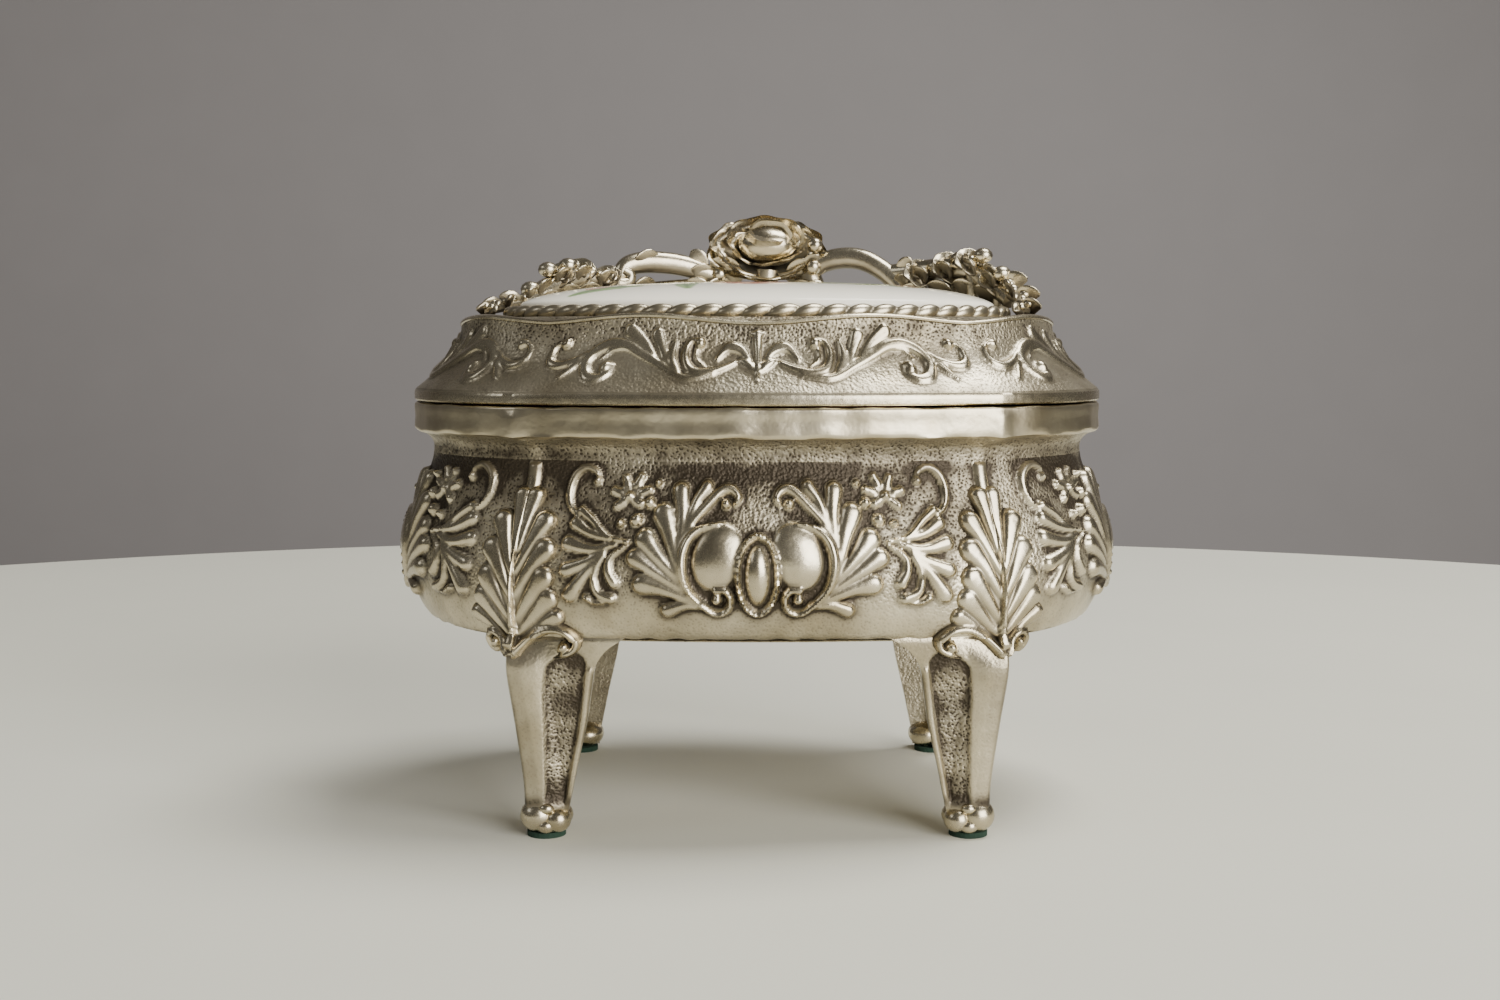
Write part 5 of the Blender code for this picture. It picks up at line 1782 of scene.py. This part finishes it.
# ---------------------------------------------------------------- linings


@dataclass
class Linings:
    """The velvet inside: the wall lining, the floor cushion and the pad in the lid.

    Attributes:
        finishes: The finishes to dress them in.
        casket: The casket that they fit.
        cloth: Thickness of the wall lining, in millimetres.
        voxel: Size of the cloth's cells while it is blown up, in millimetres.
        flutes: Soft folds of the wall lining in its whole round.
    """

    finishes: Finishes
    casket: Casket
    cloth: float = 0.8
    voxel: float = 1.6
    flutes: int = 58

    def wall_lining(self) -> None:
        """The lining, gathered in soft flutes and turned over at its top edge."""
        low, high = box_mm("wall_lining")
        z = np.concatenate([np.linspace(low.z + 0.1, high.z - 1.2, 34), np.linspace(high.z - 0.9, high.z, 6)])
        inset = np.full_like(z, self.casket.wall + 0.25)
        x, y, zz = self.casket.wall_grid(z, inset)
        fluting = full_turn(x.shape[1]) * self.flutes
        depth = 0.3 * np.sin(fluting)[None, :] * np.sin(math.pi * np.linspace(0, 1, len(z)))[:, None] ** 0.5
        roll = 0.5 * bell(z, high.z - 0.7, 0.5)[:, None]
        back = np.stack([x, y, zz], -1)
        face = back - outward(x, y, zz) * (self.cloth + 0.35 + depth + roll)[..., None]
        mesh = Sheet(np.concatenate([back, face[::-1]])[:, ::2]).mesh("velvet_wall", True, True)
        finish_piece("velvet_wall", mesh, self.finishes.velvet, Body.BOX, ["wall_lining"])

    def slab(self, half_x: float, half_y: float, low: float, high: float) -> bmesh.types.BMesh:
        """A flat slab with the casket's outline, as a bmesh in millimetres."""
        plan = self.casket
        outline = Outline((24, 20, 24, 20))
        corner_x = plan.corner[0] * half_x / plan.half_width
        corner_y = plan.corner[1] * half_y / plan.half_depth * 0.97
        x, y = outline.place(*(np.array([[value]]) for value in (corner_x, corner_y, half_x, half_y)))
        work = bmesh.new()
        ring = [work.verts.new((a, b, low)) for a, b in zip(x[0], y[0])]
        floor = work.faces.new(ring)
        made = bmesh.ops.extrude_face_region(work, geom=[floor])
        top = [item for item in made["geom"] if isinstance(item, bmesh.types.BMVert)]
        bmesh.ops.translate(work, verts=top, vec=(0, 0, high - low))
        bmesh.ops.recalc_face_normals(work, faces=work.faces)
        return work

    def padded_piece(self, name: str, node: str, body: Body, squeeze: float, pull: int) -> None:
        """A stuffed pad blown up from a slab by cloth simulation, with buttoned hollows.

        Args:
            name: The piece's name.
            node: The CAD node that it stands for.
            body: What it rides on.
            squeeze: Share of the node's thickness that the slab starts with.
            pull: How many buttons hold it down along its length.
        """
        low, high = box_mm(node)
        middle = (low.z + high.z) / 2
        half = (high.z - low.z) / 2 * squeeze
        work = self.slab(high.x - 1.2, high.y - 1.2, middle - half, middle + half)
        piece = placed(name, made_mesh(name, work))
        remesh = piece.modifiers.new("even", "REMESH")
        remesh.mode = "VOXEL"
        remesh.voxel_size = self.voxel
        mesh = bpy.data.meshes.new_from_object(piece.evaluated_get(bpy.context.evaluated_depsgraph_get()))
        bpy.data.objects.remove(piece)
        rest = points_of(mesh)
        moved = self.blown(mesh, rest)
        reach = (high.z - low.z) * 0.45
        moved = rest + np.clip(moved - rest, -reach, reach)
        for spot in np.linspace(-0.72, 0.72, pull):
            for row in (-0.38, 0.38):
                away = np.hypot(moved[:, 0] - spot * high.x, moved[:, 1] - row * high.y)
                dip = 0.75 * (high.z - low.z) * 0.5 * bell(away, 0, 2.6)
                moved[:, 2] -= np.sign(moved[:, 2] - middle) * dip
        moved[:, 2] = np.clip(moved[:, 2], low.z, high.z)
        mesh.vertices.foreach_set("co", (moved * MM).astype(np.float32).ravel())
        piece = finish_piece(name, mesh, self.finishes.velvet, body, [node])
        smooth = piece.modifiers.new("soft", "SUBSURF")
        smooth.levels = smooth.render_levels = 1

    def blown(self, mesh: bpy.types.Mesh, rest: np.ndarray) -> np.ndarray:
        """The pad's points after the cloth is blown up, simulated at ten times its real size."""
        scale, frames = 10 * MM, 20
        mesh.vertices.foreach_set("co", (rest * scale).ravel())
        piece = placed("blown", mesh)
        cloth = piece.modifiers.new("cloth", "CLOTH")
        cloth.settings.use_pressure = True
        cloth.settings.uniform_pressure_force = 4.0
        cloth.settings.effector_weights.gravity = 0.0
        cloth.point_cache.frame_start = 1
        cloth.point_cache.frame_end = frames
        for step in range(1, frames + 1):
            bpy.context.scene.frame_set(step)
        solved = piece.evaluated_get(bpy.context.evaluated_depsgraph_get()).to_mesh()
        moved = points_of(solved) / scale
        bpy.data.objects.remove(piece)
        bpy.context.scene.frame_set(1)
        return moved

    def build(self) -> None:
        """Builds the three linings."""
        self.wall_lining()
        self.padded_piece("floor_cushion", "base_cushion", Body.BOX, 0.62, 5)
        self.padded_piece("lid_pad", "lid_lining", Body.LID, 0.66, 4)


# ---------------------------------------------------------------- studio


@dataclass(frozen=True)
class Studio:
    """The table, the wall behind it, the lights and the camera.

    Attributes:
        lens: Focal length for a 36 mm wide sensor, in millimetres.
        eye: Where the camera stands, in millimetres.
        tilt: How far it looks down, in degrees.
    """

    lens: float = 42.0
    eye: tuple[float, float, float] = (-1.1, -283.9, 72.8)
    tilt: float = 5.06

    def surface(self, name: str, colour: Colour, roughness: float) -> bpy.types.Material:
        """A plain painted surface with a faint unevenness."""
        g = Graph(name)
        darker = tuple(value * 0.94 for value in colour)
        g.set(Base_Color=g.mix(g.noise(60.0, 2.0), (*colour, 1), (*darker, 1)), Roughness=roughness)
        return g.material

    def build_stage(self) -> None:
        """A round pale table top and a grey wall."""
        upright = Matrix.Translation((0, 1.7, 0)) @ Matrix.Rotation(math.pi / 2, 4, "X")
        for name, radius, segments, place, colour in (
            ("table_top", 0.45, 128, Matrix.Translation((0, -0.082, -0.01)), (0.80, 0.79, 0.68)),
            ("wall", 4.0, 4, upright, (0.46, 0.43, 0.42)),
        ):
            work = bmesh.new()
            radii = {"radius1": radius, "radius2": radius}
            bmesh.ops.create_cone(work, cap_ends=True, segments=segments, **radii, depth=0.02, matrix=place)
            mesh = made_mesh(name, work)
            mesh.materials.append(self.surface(f"{name}_paint", colour, 0.55))
            stage = placed(name, mesh)

    def light(
        self, name: str, place: tuple[float, float, float], size: float, watts: float, colour: Colour
    ) -> None:
        """One square soft light aimed at the box."""
        lamp = bpy.data.lights.new(name, "AREA")
        lamp.shape = "SQUARE"
        lamp.size = size
        lamp.energy = watts
        lamp.color = colour
        holder = placed(name, lamp)
        holder.location = place
        aim = Vector((0, 0, 0.05)) - Vector(place)
        holder.rotation_euler = aim.to_track_quat("-Z", "Y").to_euler()

    def build_lights(self) -> None:
        """A wide window light at the front right, a weak one at the left, one overhead, and a grey room."""
        self.light("window", (0.80, -1.05, 0.45), 1.0, 29.0, (1.0, 0.98, 0.95))
        self.light("room_fill", (-1.2, -0.5, 0.9), 0.5, 1.3, (0.97, 0.98, 1.0))
        self.light("ceiling", (0.40, 0.1, 1.05), 0.55, 12.5, (1.0, 0.99, 0.96))
        world = bpy.data.worlds.new("grey_room")
        world.use_nodes = True
        sky = world.node_tree.nodes["Background"].inputs
        sky["Color"].default_value = (0.40, 0.39, 0.37, 1)
        sky["Strength"].default_value = 0.24
        bpy.context.scene.world = world

    def build_camera(self) -> None:
        """The camera, level with the lid and looking slightly down."""
        data = bpy.data.cameras.new("camera")
        data.lens = self.lens
        data.sensor_width = 36.0
        data.clip_start = 0.01
        camera = placed("camera", data)
        camera.location = Vector(self.eye) * MM
        camera.rotation_euler = (math.radians(90 - self.tilt), 0, 0)
        bpy.context.scene.camera = camera

    def build(self) -> None:
        """Builds the stage, lights and camera."""
        self.build_stage()
        self.build_lights()
        self.build_camera()


def dress_cad_nodes(finishes: Finishes) -> None:
    """Gives the CAD nodes that stay in view their finishes."""
    looks = {
        "body_hinge_leaf": finishes.rubbed,
        "lid_hinge_leaf": finishes.rubbed,
        "hinge_pin": finishes.steel,
        "body_leaf_rivet_left": finishes.steel,
        "body_leaf_rivet_right": finishes.steel,
        "lid_leaf_rivet_left": finishes.steel,
        "lid_leaf_rivet_right": finishes.steel,
    }
    for name, node in frame["nodes"].items():
        if name.startswith("felt_pad"):
            looks[name] = finishes.felt
        if name in looks:
            node.data.materials.clear()
            node.data.materials.append(looks[name])


def main() -> None:
    """Builds the box, then the studio round it."""
    logging.basicConfig(level=logging.INFO, format="%(name)s %(message)s")
    finishes = make_finishes()
    casket = Casket(finishes)
    casket.build()
    Corners(finishes, casket).build()
    Lid(finishes).build()
    Garland(finishes).build()
    Linings(finishes, casket).build()
    dress_cad_nodes(finishes)
    Studio().build()


if __name__ == "__main__":
    main()
